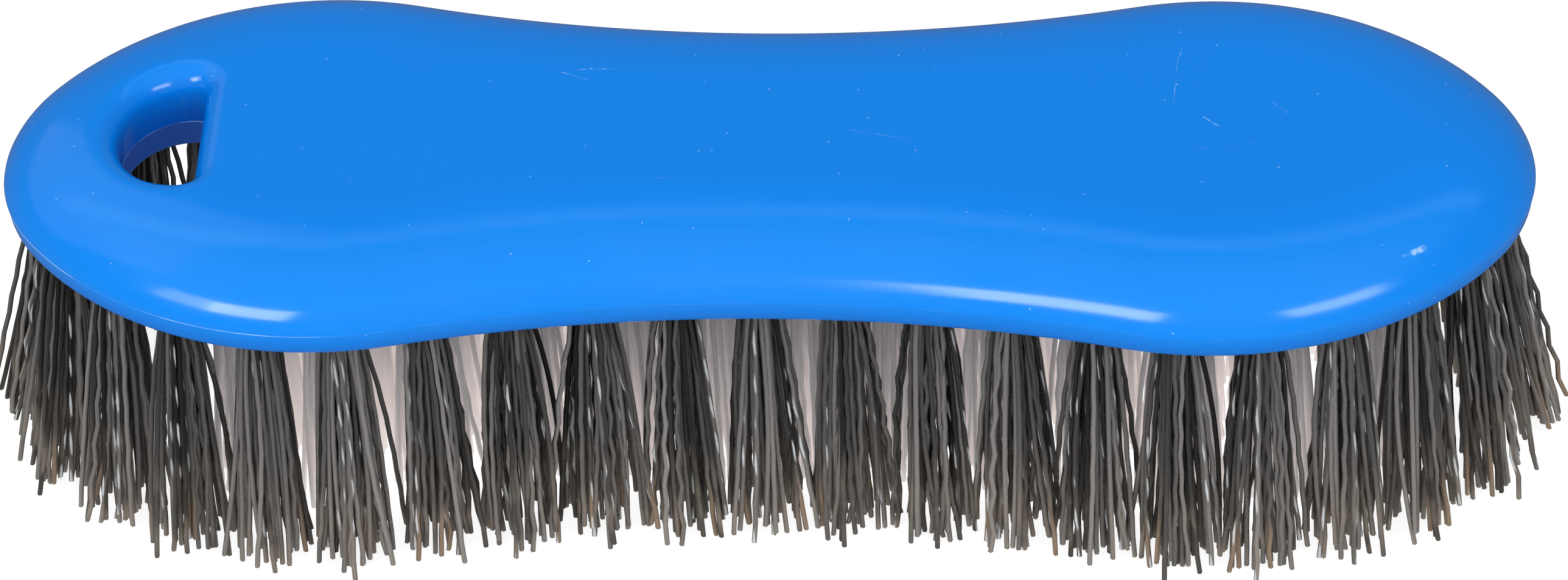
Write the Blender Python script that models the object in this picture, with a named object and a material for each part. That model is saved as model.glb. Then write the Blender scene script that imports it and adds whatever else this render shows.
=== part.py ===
"""Hand scrub brush: a moulded block with a hanging hole, set with bristle tufts.

Metres, +Z up. The bristle tips stand on z = 0 and the origin lies under the middle of
the block. The block runs along X, with its hanging hole at the -X end, and the
photographed front faces -Y. The plan is drawn in tangent arcs, a quarter at a time.
"""

import itertools
import math

import bmesh
import bpy
from mathutils import Matrix, Vector
from mathutils.bvhtree import BVHTree

# Plan of the block
BLOCK_LENGTH = 0.200
LOBE_WIDTH = 0.069
WAIST_WIDTH = 0.0545
LOBE_FROM_END = 0.042
END_RADIUS = 0.026

# Section of the block, upwards from the floor
BRISTLE_LENGTH = 0.037
RIM_HEIGHT = 0.004
RIM_DRAFT = 0.0003
RIM_EDGE_RADIUS = 0.0018
CROWN_HEIGHT = 0.008
CROWN_RUN_SHARE = 0.85

# Hanging hole, a D with its straight side towards the middle
HOLE_FROM_END = 0.0153
HOLE_DEPTH = 0.0107
HOLE_WIDTH = 0.0214
HOLE_CORNER_RADIUS = 0.0018
HOLE_RIM_RADIUS = 0.0035
HOLE_RIM_SWEEP = math.radians(75)

# Fit between pieces, and how far a cutter runs past what it cuts
SEAT_GAP = 0.0003
CUT_OVERRUN = 0.001

# Outer ring of grey tufts
OUTER_TUFTS = 40
OUTER_INSET = 0.006
SIDE_LEAN = 0.001
END_LEAN = 0.006

# A tuft that stands alone is folded over a wire anchor in a hole of its own
TUFT_HOLE_RADIUS = 0.0026
TUFT_HOLE_DEPTH = 0.006
ROOT_COLLAR = 0.0008
ANCHOR_LENGTH = 0.0062
ANCHOR_WIDTH = 0.0006
ANCHOR_HEIGHT = 0.0014
ANCHOR_BITE = 0.0006

# White tufts: a ring inside the grey one, a row along the waist and two rows a lobe.
# Those two stand apart by a share of the lobe's width inside the ring.
RING_GAP = 0.0107
RING_TUFTS = 27
RING_GROUP = 4
RING_END_GROUP = 3
RING_END_CLEARANCE = 0.0055
ROW_STATIONS = 6
ROW_END_CLEARANCE = 0.0085
ROW_GAP_SHARE = 0.3
WAIST_STATIONS = 3
SLICE_RADIUS = 0.003
SLICE_THICKNESS = 0.003

# Strands, a few thick ones for the many fine filaments of a tuft
STRAND_GAP = 0.0004
STRAND_FAN_SHARE = 0.86
STRAND_TIP_SHARE = 0.72
FAN_EXPONENT = 1.6
GREY_STRANDS = 5
GREY_LEVEL_SHARES = (0.45, 1.0)
WHITE_STRANDS = 4
WHITE_LEVEL_SHARES = (1.0,)

# Facets
END_ARC_STEPS = 6
LOBE_ARC_STEPS = 12
WAIST_ARC_STEPS = 6
RIM_STEPS = 3
CROWN_STEPS = 8
HOLE_ARC_STEPS = 16
CORNER_STEPS = 3
HOLE_RIM_STEPS = 4
TUFT_HOLE_SIDES = 10
SLICE_END_STEPS = 3

# How often the search for the ends of the white ring halves its range
SEARCH_ROUNDS = 40

# Heights that several pieces share
UNDERSIDE_Z = BRISTLE_LENGTH
PARTING_Z = UNDERSIDE_Z + RIM_HEIGHT
TOP_Z = PARTING_Z + CROWN_HEIGHT
CROWN_RUN = END_RADIUS * CROWN_RUN_SHARE
HOLE_STRAIGHT_X = HOLE_FROM_END + HOLE_DEPTH - BLOCK_LENGTH / 2
ROW_GAP = (LOBE_WIDTH - 2 * (OUTER_INSET + RING_GAP)) * ROW_GAP_SHARE
ROOT_RADIUS = TUFT_HOLE_RADIUS - SEAT_GAP


class Arc:
    """A circular stretch of the plan, walked from its start angle to its end angle."""

    def __init__(self, centre, radius, start, end, side):
        """Keep the arc; side is 1 where the block lies in the circle and -1 where not."""
        self.centre = centre
        self.radius = radius
        self.start = start
        self.end = end
        self.side = side

    def inset(self, depth):
        """Return the same arc moved into the block by a depth."""
        return Arc(self.centre, self.radius - self.side * depth, self.start, self.end, self.side)

    def length(self):
        """Return the length of the arc."""
        return self.radius * abs(self.end - self.start)

    def at(self, share):
        """Return the point at a share of the arc, and the outward direction there."""
        angle = self.start + (self.end - self.start) * share
        spoke = Vector((math.cos(angle), math.sin(angle)))
        return self.centre + spoke * self.radius, spoke * self.side


def quarter_plan(depth=0.0):
    """Return the end, lobe and waist arcs of the +X +Y quarter, inset by a depth."""
    half_length = BLOCK_LENGTH / 2
    half_lobe = LOBE_WIDTH / 2
    half_waist = WAIST_WIDTH / 2
    lobe_x = half_length - LOBE_FROM_END
    end_centre = Vector((half_length - END_RADIUS, 0.0))
    run = end_centre.x - lobe_x
    lobe_radius = (run ** 2 + half_lobe ** 2 - END_RADIUS ** 2) / (2 * (half_lobe - END_RADIUS))
    lobe_centre = Vector((lobe_x, half_lobe - lobe_radius))
    rise = half_waist - lobe_centre.y
    waist_radius = (lobe_x ** 2 + rise ** 2 - lobe_radius ** 2) / (2 * (lobe_radius - rise))
    waist_centre = Vector((0.0, half_waist + waist_radius))
    to_end = end_centre - lobe_centre
    to_waist = waist_centre - lobe_centre
    end_angle = math.atan2(to_end.y, to_end.x)
    waist_angle = math.atan2(to_waist.y, to_waist.x)
    arcs = (
        Arc(end_centre, END_RADIUS, 0.0, end_angle, 1),
        Arc(lobe_centre, lobe_radius, end_angle, waist_angle, 1),
        Arc(waist_centre, waist_radius, waist_angle - math.pi, -math.pi / 2, -1),
    )
    return [arc.inset(depth) for arc in arcs]


def ring_points(depth):
    """Return the closed ring of plan points that lies a depth inside the outline."""
    quarter = []
    for arc, steps in zip(quarter_plan(depth), (END_ARC_STEPS, LOBE_ARC_STEPS, WAIST_ARC_STEPS)):
        quarter += [arc.at(step / steps)[0] for step in range(steps)]
    waist = quarter_plan(depth)[-1].at(1.0)[0]
    half = quarter + [waist] + [Vector((-p.x, p.y)) for p in reversed(quarter)]
    return half + [Vector((p.x, -p.y)) for p in reversed(half[1:-1])]


def quarter_length(depth):
    """Return the length of a quarter of the ring at a depth."""
    return sum(arc.length() for arc in quarter_plan(depth))


def walk_quarter(depth, distance):
    """Return the point and outward direction a distance from the +X end of a quarter."""
    for arc in quarter_plan(depth):
        if distance <= arc.length():
            return arc.at(distance / arc.length())
        distance -= arc.length()
    return arc.at(1.0)


def walk_ring(depth, distance):
    """Return point and outward direction at a signed distance from the +X end.

    Positive distances run along +Y and negative ones along -Y, up to the -X end.
    """
    quarter = quarter_length(depth)
    reach = abs(distance)
    turn = Vector((1.0, math.copysign(1.0, distance)))
    if reach > quarter:
        reach = 2 * quarter - reach
        turn.x = -1.0
    point, outward = walk_quarter(depth, reach)
    return point * turn, outward * turn


def clear_objects():
    """Remove every object of the file."""
    for thing in list(bpy.data.objects):
        bpy.data.objects.remove(thing, do_unlink=True)


def new_collection(name):
    """Return a new collection linked to the scene."""
    collection = bpy.data.collections.new(name)
    bpy.context.scene.collection.children.link(collection)
    return collection


def new_material(name, colour, roughness):
    """Return a plastic material of one colour and roughness."""
    material = bpy.data.materials.new(name)
    material.use_nodes = True
    shader = material.node_tree.nodes["Principled BSDF"]
    shader.inputs["Base Color"].default_value = (*colour, 1.0)
    shader.inputs["Roughness"].default_value = roughness
    shader.inputs["Metallic"].default_value = 0.0
    return material


def new_object(name, shape, collection, material=None):
    """Turn a bmesh into a named object and free the bmesh."""
    mesh = bpy.data.meshes.new(name)
    bmesh.ops.recalc_face_normals(shape, faces=shape.faces)
    shape.to_mesh(mesh)
    shape.free()
    if material:
        mesh.materials.append(material)
    thing = bpy.data.objects.new(name, mesh)
    collection.objects.link(thing)
    return thing


def shade(thing):
    """Shade an object smooth, with its real edges left sharp."""
    thing.data.shade_smooth()
    thing.data.set_sharp_from_angle(angle=math.radians(40))


def combine(thing, tool, operation):
    """Apply an exact Boolean of a tool to an object and remove the tool."""
    step = thing.modifiers.new(operation.lower(), "BOOLEAN")
    step.solver = "EXACT"
    step.operation = operation
    step.object = tool
    bpy.context.view_layer.update()
    graph = bpy.context.evaluated_depsgraph_get()
    result = bpy.data.meshes.new_from_object(thing.evaluated_get(graph))
    thing.modifiers.remove(step)
    thing.data = result
    bpy.data.objects.remove(tool, do_unlink=True)


def new_cutter(name, shape, collection):
    """Return a cutter that is drawn as wire and left out of the model."""
    cutter = new_object(name, shape, collection)
    cutter.hide_render = True
    cutter.display_type = "WIRE"
    return cutter


def loft(shape, rings):
    """Skin a stack of closed rings of equal counts and cap both ends."""
    loops = [[shape.verts.new(point) for point in ring] for ring in rings]
    for low, high in zip(loops, loops[1:]):
        for here in range(len(low)):
            after = (here + 1) % len(low)
            shape.faces.new((low[here], low[after], high[after], high[here]))
    shape.faces.new(list(reversed(loops[0])))
    shape.faces.new(loops[-1])


def block_rings():
    """Return the rings of the block from its underside up to the top of its crown."""
    rings = []
    for step in range(RIM_STEPS + 1):
        angle = math.pi / 2 * step / RIM_STEPS
        depth = RIM_DRAFT + RIM_EDGE_RADIUS * (1 - math.sin(angle))
        height = UNDERSIDE_Z + RIM_EDGE_RADIUS * (1 - math.cos(angle))
        rings.append([(p.x, p.y, height) for p in ring_points(depth)])
    for step in range(CROWN_STEPS + 1):
        angle = math.pi / 2 * step / CROWN_STEPS
        depth = CROWN_RUN * (1 - math.cos(angle))
        height = PARTING_Z + CROWN_HEIGHT * math.sin(angle)
        rings.append([(p.x, p.y, height) for p in ring_points(depth)])
    return rings


def hanging_hole_plan():
    """Return the points of the D with the outward direction at each of them."""
    half_width = HOLE_WIDTH / 2
    arc_centre_x = HOLE_STRAIGHT_X - HOLE_CORNER_RADIUS
    arc_depth = HOLE_DEPTH - HOLE_CORNER_RADIUS
    corner_y = half_width - HOLE_CORNER_RADIUS
    plan = []
    for step in range(CORNER_STEPS):
        angle = math.pi / 2 * step / CORNER_STEPS
        spoke = Vector((math.cos(angle), math.sin(angle)))
        centre = Vector((arc_centre_x, corner_y))
        plan.append((centre + spoke * HOLE_CORNER_RADIUS, spoke))
    for step in range(HOLE_ARC_STEPS):
        angle = math.pi / 2 + math.pi * step / HOLE_ARC_STEPS
        spoke = Vector((math.cos(angle), math.sin(angle)))
        point = Vector((arc_centre_x + arc_depth * spoke.x, half_width * spoke.y))
        outward = Vector((spoke.x * half_width, spoke.y * arc_depth)).normalized()
        plan.append((point, outward))
    for step in range(CORNER_STEPS + 1):
        angle = math.pi / 2 * (3 + step / CORNER_STEPS)
        spoke = Vector((math.cos(angle), math.sin(angle)))
        centre = Vector((arc_centre_x, -corner_y))
        plan.append((centre + spoke * HOLE_CORNER_RADIUS, spoke))
    return plan


def hanging_hole_cutter(block, collection):
    """Return the cutter of the hanging hole, flared to leave a rounded upper rim.

    The flare follows the crown: each point drops onto the block's own surface.
    """
    surface = bmesh.new()
    surface.from_mesh(block.data)
    tree = BVHTree.FromBMesh(surface)
    surface.free()
    plan = hanging_hole_plan()
    rings = [[(p.x, p.y, UNDERSIDE_Z - CUT_OVERRUN) for p, _ in plan]]
    crests = []
    for point, outward in plan:
        edge = point + outward * HOLE_RIM_RADIUS
        hit = tree.ray_cast(Vector((edge.x, edge.y, TOP_Z + CUT_OVERRUN)), Vector((0, 0, -1)))
        crests.append(hit[0].z)
    for step in range(HOLE_RIM_STEPS + 1):
        angle = HOLE_RIM_SWEEP * step / HOLE_RIM_STEPS
        out = HOLE_RIM_RADIUS * (1 - math.cos(angle))
        drop = HOLE_RIM_RADIUS * (1 - math.sin(angle))
        rings.append([
            ((p + n * out).x, (p + n * out).y, crest - drop)
            for (p, n), crest in zip(plan, crests)
        ])
    past = HOLE_RIM_RADIUS
    out = HOLE_RIM_RADIUS * (1 - math.cos(HOLE_RIM_SWEEP)) + past * math.sin(HOLE_RIM_SWEEP)
    rise = past * math.cos(HOLE_RIM_SWEEP) - HOLE_RIM_RADIUS * (1 - math.sin(HOLE_RIM_SWEEP))
    rings.append([
        ((p + n * out).x, (p + n * out).y, crest + rise) for (p, n), crest in zip(plan, crests)
    ])
    rings.append([((p + n * out).x, (p + n * out).y, TOP_Z + past) for p, n in plan])
    shape = bmesh.new()
    loft(shape, rings)
    return new_cutter("hanging_hole_cutter", shape, collection)


def outer_places():
    """Return the place and outward direction of each grey tuft, round the block."""
    around = 4 * quarter_length(OUTER_INSET)
    pitch = around / OUTER_TUFTS
    places = []
    for index in range(OUTER_TUFTS):
        distance = index * pitch
        if distance > around / 2:
            distance -= around
        places.append(walk_ring(OUTER_INSET, distance))
    return places


def ring_places():
    """Return the places of the white ring, which stays open at the hanging hole."""
    depth = OUTER_INSET + RING_GAP
    near = quarter_length(depth)
    far = 2 * near
    stop_x = HOLE_STRAIGHT_X + RING_END_CLEARANCE
    for _ in range(SEARCH_ROUNDS):
        middle = (near + far) / 2
        if walk_ring(depth, middle)[0].x > stop_x:
            near = middle
        else:
            far = middle
    last = (RING_TUFTS - 1) // 2
    return [walk_ring(depth, near * index / last) for index in range(-last, last + 1)]


def row_pitch():
    """Return the distance between stations along the middle of the block."""
    return (-HOLE_STRAIGHT_X - ROW_END_CLEARANCE) / ROW_STATIONS


def waist_places():
    """Return the places of the white tufts that stand alone along the waist."""
    stations = range(-WAIST_STATIONS, WAIST_STATIONS + 1)
    return [(Vector((station * row_pitch(), 0.0)), Vector((0.0, 1.0))) for station in stations]


def white_groups():
    """Return the white tufts that share a slice of their backing, group by group.

    The ring makes groups of four with three at the +X end, and each row a group.
    """
    ring = ring_places()
    end_start = (len(ring) - RING_END_GROUP) // 2
    end_stop = end_start + RING_END_GROUP
    groups = [ring[at:at + RING_GROUP] for at in range(0, end_start, RING_GROUP)]
    groups.append(ring[end_start:end_stop])
    groups += [ring[at:at + RING_GROUP] for at in range(end_stop, len(ring), RING_GROUP)]
    for side_x in (-1, 1):
        for side_y in (-1, 1):
            outward = Vector((0.0, side_y))
            groups.append([
                (Vector((side_x * station * row_pitch(), side_y * ROW_GAP / 2)), outward)
                for station in range(WAIST_STATIONS + 1, ROW_STATIONS + 1)
            ])
    return groups


def strand_fan():
    """Return how far strands fan out: a share of the free space beside the closest roots."""
    spots = sum(white_groups(), outer_places() + waist_places())
    closest = min((a - b).length for (a, _), (b, _) in itertools.combinations(spots, 2))
    return STRAND_FAN_SHARE * (closest / 2 - ROOT_RADIUS)


def slice_plan(group, radius):
    """Return the outline of a band of a half-width that runs through a group's tufts."""
    places = [place for place, _ in group]
    first = (places[1] - places[0]).normalized()
    last = (places[-1] - places[-2]).normalized()
    outline = []
    for centre, ahead in ((places[-1], last), (places[0], -first)):
        side = math.atan2(-ahead.x, ahead.y)
        for step in range(SLICE_END_STEPS + 1):
            angle = side + math.pi * step / SLICE_END_STEPS
            outline.append(centre + Vector((math.cos(angle), math.sin(angle))) * radius)
        inner = list(zip(places, places[1:], places[2:]))
        if centre is places[-1]:
            inner = [(c, b, a) for a, b, c in reversed(inner)]
        for before, here, after in inner:
            run_in = (here - before).normalized()
            run_out = (after - here).normalized()
            mean = (run_in + run_out).normalized()
            reach = radius / mean.dot(run_in)
            outline.append(here + Vector((mean.y, -mean.x)) * reach)
    return outline


def add_prism(shape, outline, low, high):
    """Add an upright prism over an outline between two heights."""
    loft(shape, [[(p.x, p.y, z) for p in outline] for z in (low, high)])


def make_block(collection, cutters, material):
    """Make the block with its hanging hole, tuft holes, anchor slots and slice seats."""
    shape = bmesh.new()
    loft(shape, block_rings())
    block = new_object("brush_block", shape, collection, material)
    combine(block, hanging_hole_cutter(block, cutters), "DIFFERENCE")

    holes = bmesh.new()
    slots = bmesh.new()
    hole_top = UNDERSIDE_Z + TUFT_HOLE_DEPTH
    slot_low = hole_top - 2 * SEAT_GAP - ANCHOR_HEIGHT
    slot_high = hole_top + SEAT_GAP
    for place, outward in outer_places() + waist_places():
        turn = Matrix.Rotation(math.atan2(outward.y, outward.x), 4, "Z")
        depth = TUFT_HOLE_DEPTH + CUT_OVERRUN
        centre = Vector((place.x, place.y, hole_top - depth / 2))
        bmesh.ops.create_cone(
            holes, cap_ends=True, segments=TUFT_HOLE_SIDES, radius1=TUFT_HOLE_RADIUS,
            radius2=TUFT_HOLE_RADIUS, depth=depth, matrix=Matrix.Translation(centre) @ turn,
        )
        middle = Vector((place.x, place.y, (slot_low + slot_high) / 2))
        size = Vector((
            ANCHOR_WIDTH + 2 * SEAT_GAP, ANCHOR_LENGTH + 2 * SEAT_GAP, slot_high - slot_low,
        ))
        bmesh.ops.create_cube(
            slots, size=1, matrix=Matrix.Translation(middle) @ turn @ Matrix.Diagonal((*size, 1)),
        )
    combine(block, new_cutter("tuft_hole_cutter", holes, cutters), "DIFFERENCE")
    combine(block, new_cutter("anchor_slot_cutter", slots, cutters), "DIFFERENCE")

    seats = bmesh.new()
    for group in white_groups():
        outline = slice_plan(group, SLICE_RADIUS + SEAT_GAP)
        seat_top = UNDERSIDE_Z + SLICE_THICKNESS + SEAT_GAP
        add_prism(seats, outline, UNDERSIDE_Z - CUT_OVERRUN, seat_top)
    combine(block, new_cutter("slice_seat_cutter", seats, cutters), "DIFFERENCE")
    shade(block)
    return block


def add_root(shape, place, outward, strands, top):
    """Add the packed root of a tuft, with one side for each of its strands.

    Heights here and below are from the underside of the block.
    """
    turn = Matrix.Rotation(math.atan2(outward.y, outward.x), 4, "Z")
    half_side = Matrix.Rotation(math.pi / strands, 4, "Z")
    centre = Matrix.Translation((place.x, place.y, (top - ROOT_COLLAR) / 2))
    bmesh.ops.create_cone(
        shape, cap_ends=True, segments=strands, radius1=ROOT_RADIUS, radius2=ROOT_RADIUS,
        depth=top + ROOT_COLLAR, matrix=centre @ turn @ half_side,
    )


def grow_strands(mesh, roots, level_shares):
    """Draw each root's lower face out into strands that fan apart down to the floor.

    roots holds the place of each root and how far its tips lean from it.
    """
    fan = strand_fan()
    shape = bmesh.new()
    shape.from_mesh(mesh)
    for place, lean in roots:
        nearby = [
            face for face in shape.faces
            if abs(face.calc_center_median().z + ROOT_COLLAR) < SEAT_GAP
            and (face.calc_center_median().xy - place).length < SEAT_GAP
        ]
        sectors = bmesh.ops.poke(shape, faces=nearby)["faces"]
        bmesh.ops.inset_individual(
            shape, faces=sectors, thickness=STRAND_GAP / 2, use_even_offset=True,
        )
        for sector in sectors:
            start = centre = sector.calc_center_median().xy
            away = (start - place).normalized()
            size = 1.0
            for level in level_shares:
                sector = bmesh.ops.extrude_discrete_faces(shape, faces=[sector])["faces"][0]
                last_centre, last_size = centre, size
                centre = start + (away * fan + lean) * level ** FAN_EXPONENT
                size = 1 + (STRAND_TIP_SHARE - 1) * level
                height = -ROOT_COLLAR + (ROOT_COLLAR - BRISTLE_LENGTH) * level
                for vert in sector.verts:
                    offset = (vert.co.xy - last_centre) * (size / last_size)
                    vert.co = (*(centre + offset), height)
    bmesh.ops.recalc_face_normals(shape, faces=shape.faces)
    shape.to_mesh(mesh)
    shape.free()


def make_anchored_root(strands, cutters):
    """Return the mesh of a packed root with its wire anchor, facing along +X."""
    anchor_top = TUFT_HOLE_DEPTH - SEAT_GAP
    anchor_low = anchor_top - ANCHOR_HEIGHT
    root = bmesh.new()
    add_root(root, Vector((0.0, 0.0)), Vector((1.0, 0.0)), strands, anchor_low + ANCHOR_BITE)
    holder = new_object("anchored_root", root, cutters)
    wire = bmesh.new()
    middle = Matrix.Translation((0, 0, (anchor_low + anchor_top) / 2))
    size = Matrix.Diagonal((ANCHOR_WIDTH, ANCHOR_LENGTH, ANCHOR_HEIGHT, 1))
    bmesh.ops.create_cube(wire, size=1, matrix=middle @ size)
    combine(holder, new_cutter("anchor", wire, cutters), "UNION")
    mesh = holder.data
    bpy.data.objects.remove(holder, do_unlink=True)
    return mesh


def make_tuft(name, spot, lean, root, level_shares, collection, material):
    """Make one tuft from a root's mesh; lean is how far outwards its tips stand."""
    place, outward = spot
    mesh = root.copy()
    grow_strands(mesh, [(Vector((0.0, 0.0)), Vector((lean, 0.0)))], level_shares)
    mesh.materials.append(material)
    tuft = bpy.data.objects.new(name, mesh)
    collection.objects.link(tuft)
    tuft.location = (place.x, place.y, UNDERSIDE_Z)
    tuft.rotation_euler.z = math.atan2(outward.y, outward.x)
    shade(tuft)
    return tuft


def make_tuft_group(name, group, collection, cutters, material):
    """Make a group of white tufts on the slice of backing that they share."""
    shape = bmesh.new()
    add_prism(shape, slice_plan(group, SLICE_RADIUS), 0.0, SLICE_THICKNESS)
    tufts = new_object(name, shape, collection, material)
    roots = bmesh.new()
    for place, outward in group:
        add_root(roots, place, outward, WHITE_STRANDS, SLICE_THICKNESS / 2)
    combine(tufts, new_cutter("roots", roots, cutters), "UNION")
    upright = Vector((0.0, 0.0))
    grow_strands(tufts.data, [(place, upright) for place, _ in group], WHITE_LEVEL_SHARES)
    tufts.location.z = UNDERSIDE_Z
    shade(tufts)
    return tufts


def main():
    """Build the brush."""
    clear_objects()
    parts = new_collection("scrub_brush")
    cutters = new_collection("cutters")
    block_blue = new_material("block_blue", (0.009, 0.24, 0.82), 0.3)
    bristle_grey = new_material("bristle_grey", (0.055, 0.056, 0.055), 0.45)
    bristle_white = new_material("bristle_white", (0.72, 0.70, 0.74), 0.4)
    brush = bpy.data.objects.new("brush", None)
    parts.objects.link(brush)

    pieces = [make_block(parts, cutters, block_blue)]
    grey_root = make_anchored_root(GREY_STRANDS, cutters)
    for index, spot in enumerate(outer_places(), 1):
        lean = SIDE_LEAN + (END_LEAN - SIDE_LEAN) * spot[1].x ** 2
        name = f"grey_tuft_{index:02d}"
        pieces.append(
            make_tuft(name, spot, lean, grey_root, GREY_LEVEL_SHARES, parts, bristle_grey)
        )
    white_root = make_anchored_root(WHITE_STRANDS, cutters)
    for index, spot in enumerate(waist_places(), 1):
        name = f"white_tuft_{index:02d}"
        pieces.append(
            make_tuft(name, spot, 0.0, white_root, WHITE_LEVEL_SHARES, parts, bristle_white)
        )
    for index, group in enumerate(white_groups(), 1):
        name = f"white_tuft_group_{index:02d}"
        pieces.append(make_tuft_group(name, group, parts, cutters, bristle_white))
    for piece in pieces:
        piece.parent = brush


main()
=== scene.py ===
"""Looks of a hand scrub brush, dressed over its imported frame.

A glossy blue moulded block with a hanging hole carries a ring of dark grey crimped
bristle tufts and, inside it, milky white ones. Metres, +Z up, bristle tips on z = 0.
"""

from __future__ import annotations

import logging
import math
from collections.abc import Callable, Iterable, Sequence
from dataclasses import dataclass, field
from enum import Enum

import bmesh
import bpy
import numpy as np
from mathutils import Matrix, Vector, geometry


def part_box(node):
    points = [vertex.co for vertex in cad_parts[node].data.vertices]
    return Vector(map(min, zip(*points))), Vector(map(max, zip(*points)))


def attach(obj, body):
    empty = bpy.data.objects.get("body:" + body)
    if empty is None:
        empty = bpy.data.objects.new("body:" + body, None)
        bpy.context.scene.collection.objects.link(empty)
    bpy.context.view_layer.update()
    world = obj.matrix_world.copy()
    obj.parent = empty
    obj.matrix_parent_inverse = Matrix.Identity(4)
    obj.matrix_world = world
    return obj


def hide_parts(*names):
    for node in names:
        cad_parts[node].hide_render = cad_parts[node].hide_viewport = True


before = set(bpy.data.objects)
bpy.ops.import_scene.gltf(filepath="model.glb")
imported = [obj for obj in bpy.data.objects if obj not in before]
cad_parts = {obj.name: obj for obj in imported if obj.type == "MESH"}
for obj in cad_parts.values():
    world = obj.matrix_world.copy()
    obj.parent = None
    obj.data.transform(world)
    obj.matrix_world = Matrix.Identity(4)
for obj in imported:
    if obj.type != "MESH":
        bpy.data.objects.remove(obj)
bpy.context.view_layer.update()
LOG = logging.getLogger("scrub_brush")

MM = 0.001
BODY = "root"
LEVEL_COSINE = 0.9  # of a face's normal with +Z or -Z, where the face counts as level
HEIGHT_SLACK = 0.05 * MM  # within which a height counts as met
ALL_TRIANGLES = 0  # the triangulation's setting that keeps every triangle
MERGE_REACH = 1e-5  # in millimetres, below which it merges points

Triple = tuple[float, float, float]
Spot = tuple[Vector, Vector]  # where a tuft stands and the outward direction there
# The glint mark says where a highlight is painted on a strand.
MARKS = ("tone", "along", "glint")  # what each point of a strand carries for its material


class SlotName(Enum):
    """Names of the record's material slots."""

    BLOCK = "block_blue"
    GREY = "bristle_grey"
    WHITE = "bristle_white"


@dataclass(frozen=True)
class Arc:
    """A circular stretch of the block's plan.

    Attributes:
        centre: Centre of the circle.
        radius: Radius of the circle.
        start: Angle at which the stretch starts.
        end: Angle at which it ends.
        side: 1 where the block lies in the circle, -1 where it lies outside.
    """

    centre: Vector
    radius: float
    start: float
    end: float
    side: int

    def inset(self, depth: float) -> Arc:
        """Return the arc moved into the block by a depth."""
        radius = self.radius - self.side * depth
        return Arc(self.centre, radius, self.start, self.end, self.side)

    def length(self) -> float:
        """Return the length of the arc."""
        return self.radius * abs(self.end - self.start)

    def at(self, share: float) -> tuple[Vector, Vector]:
        """Find a point of the arc.

        Args:
            share: How far along the arc it lies, from 0 to 1.

        Returns:
            The point and the outward direction there.
        """
        angle = self.start + (self.end - self.start) * share
        spoke = Vector((math.cos(angle), math.sin(angle)))
        return self.centre + spoke * self.radius, spoke * self.side


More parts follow.
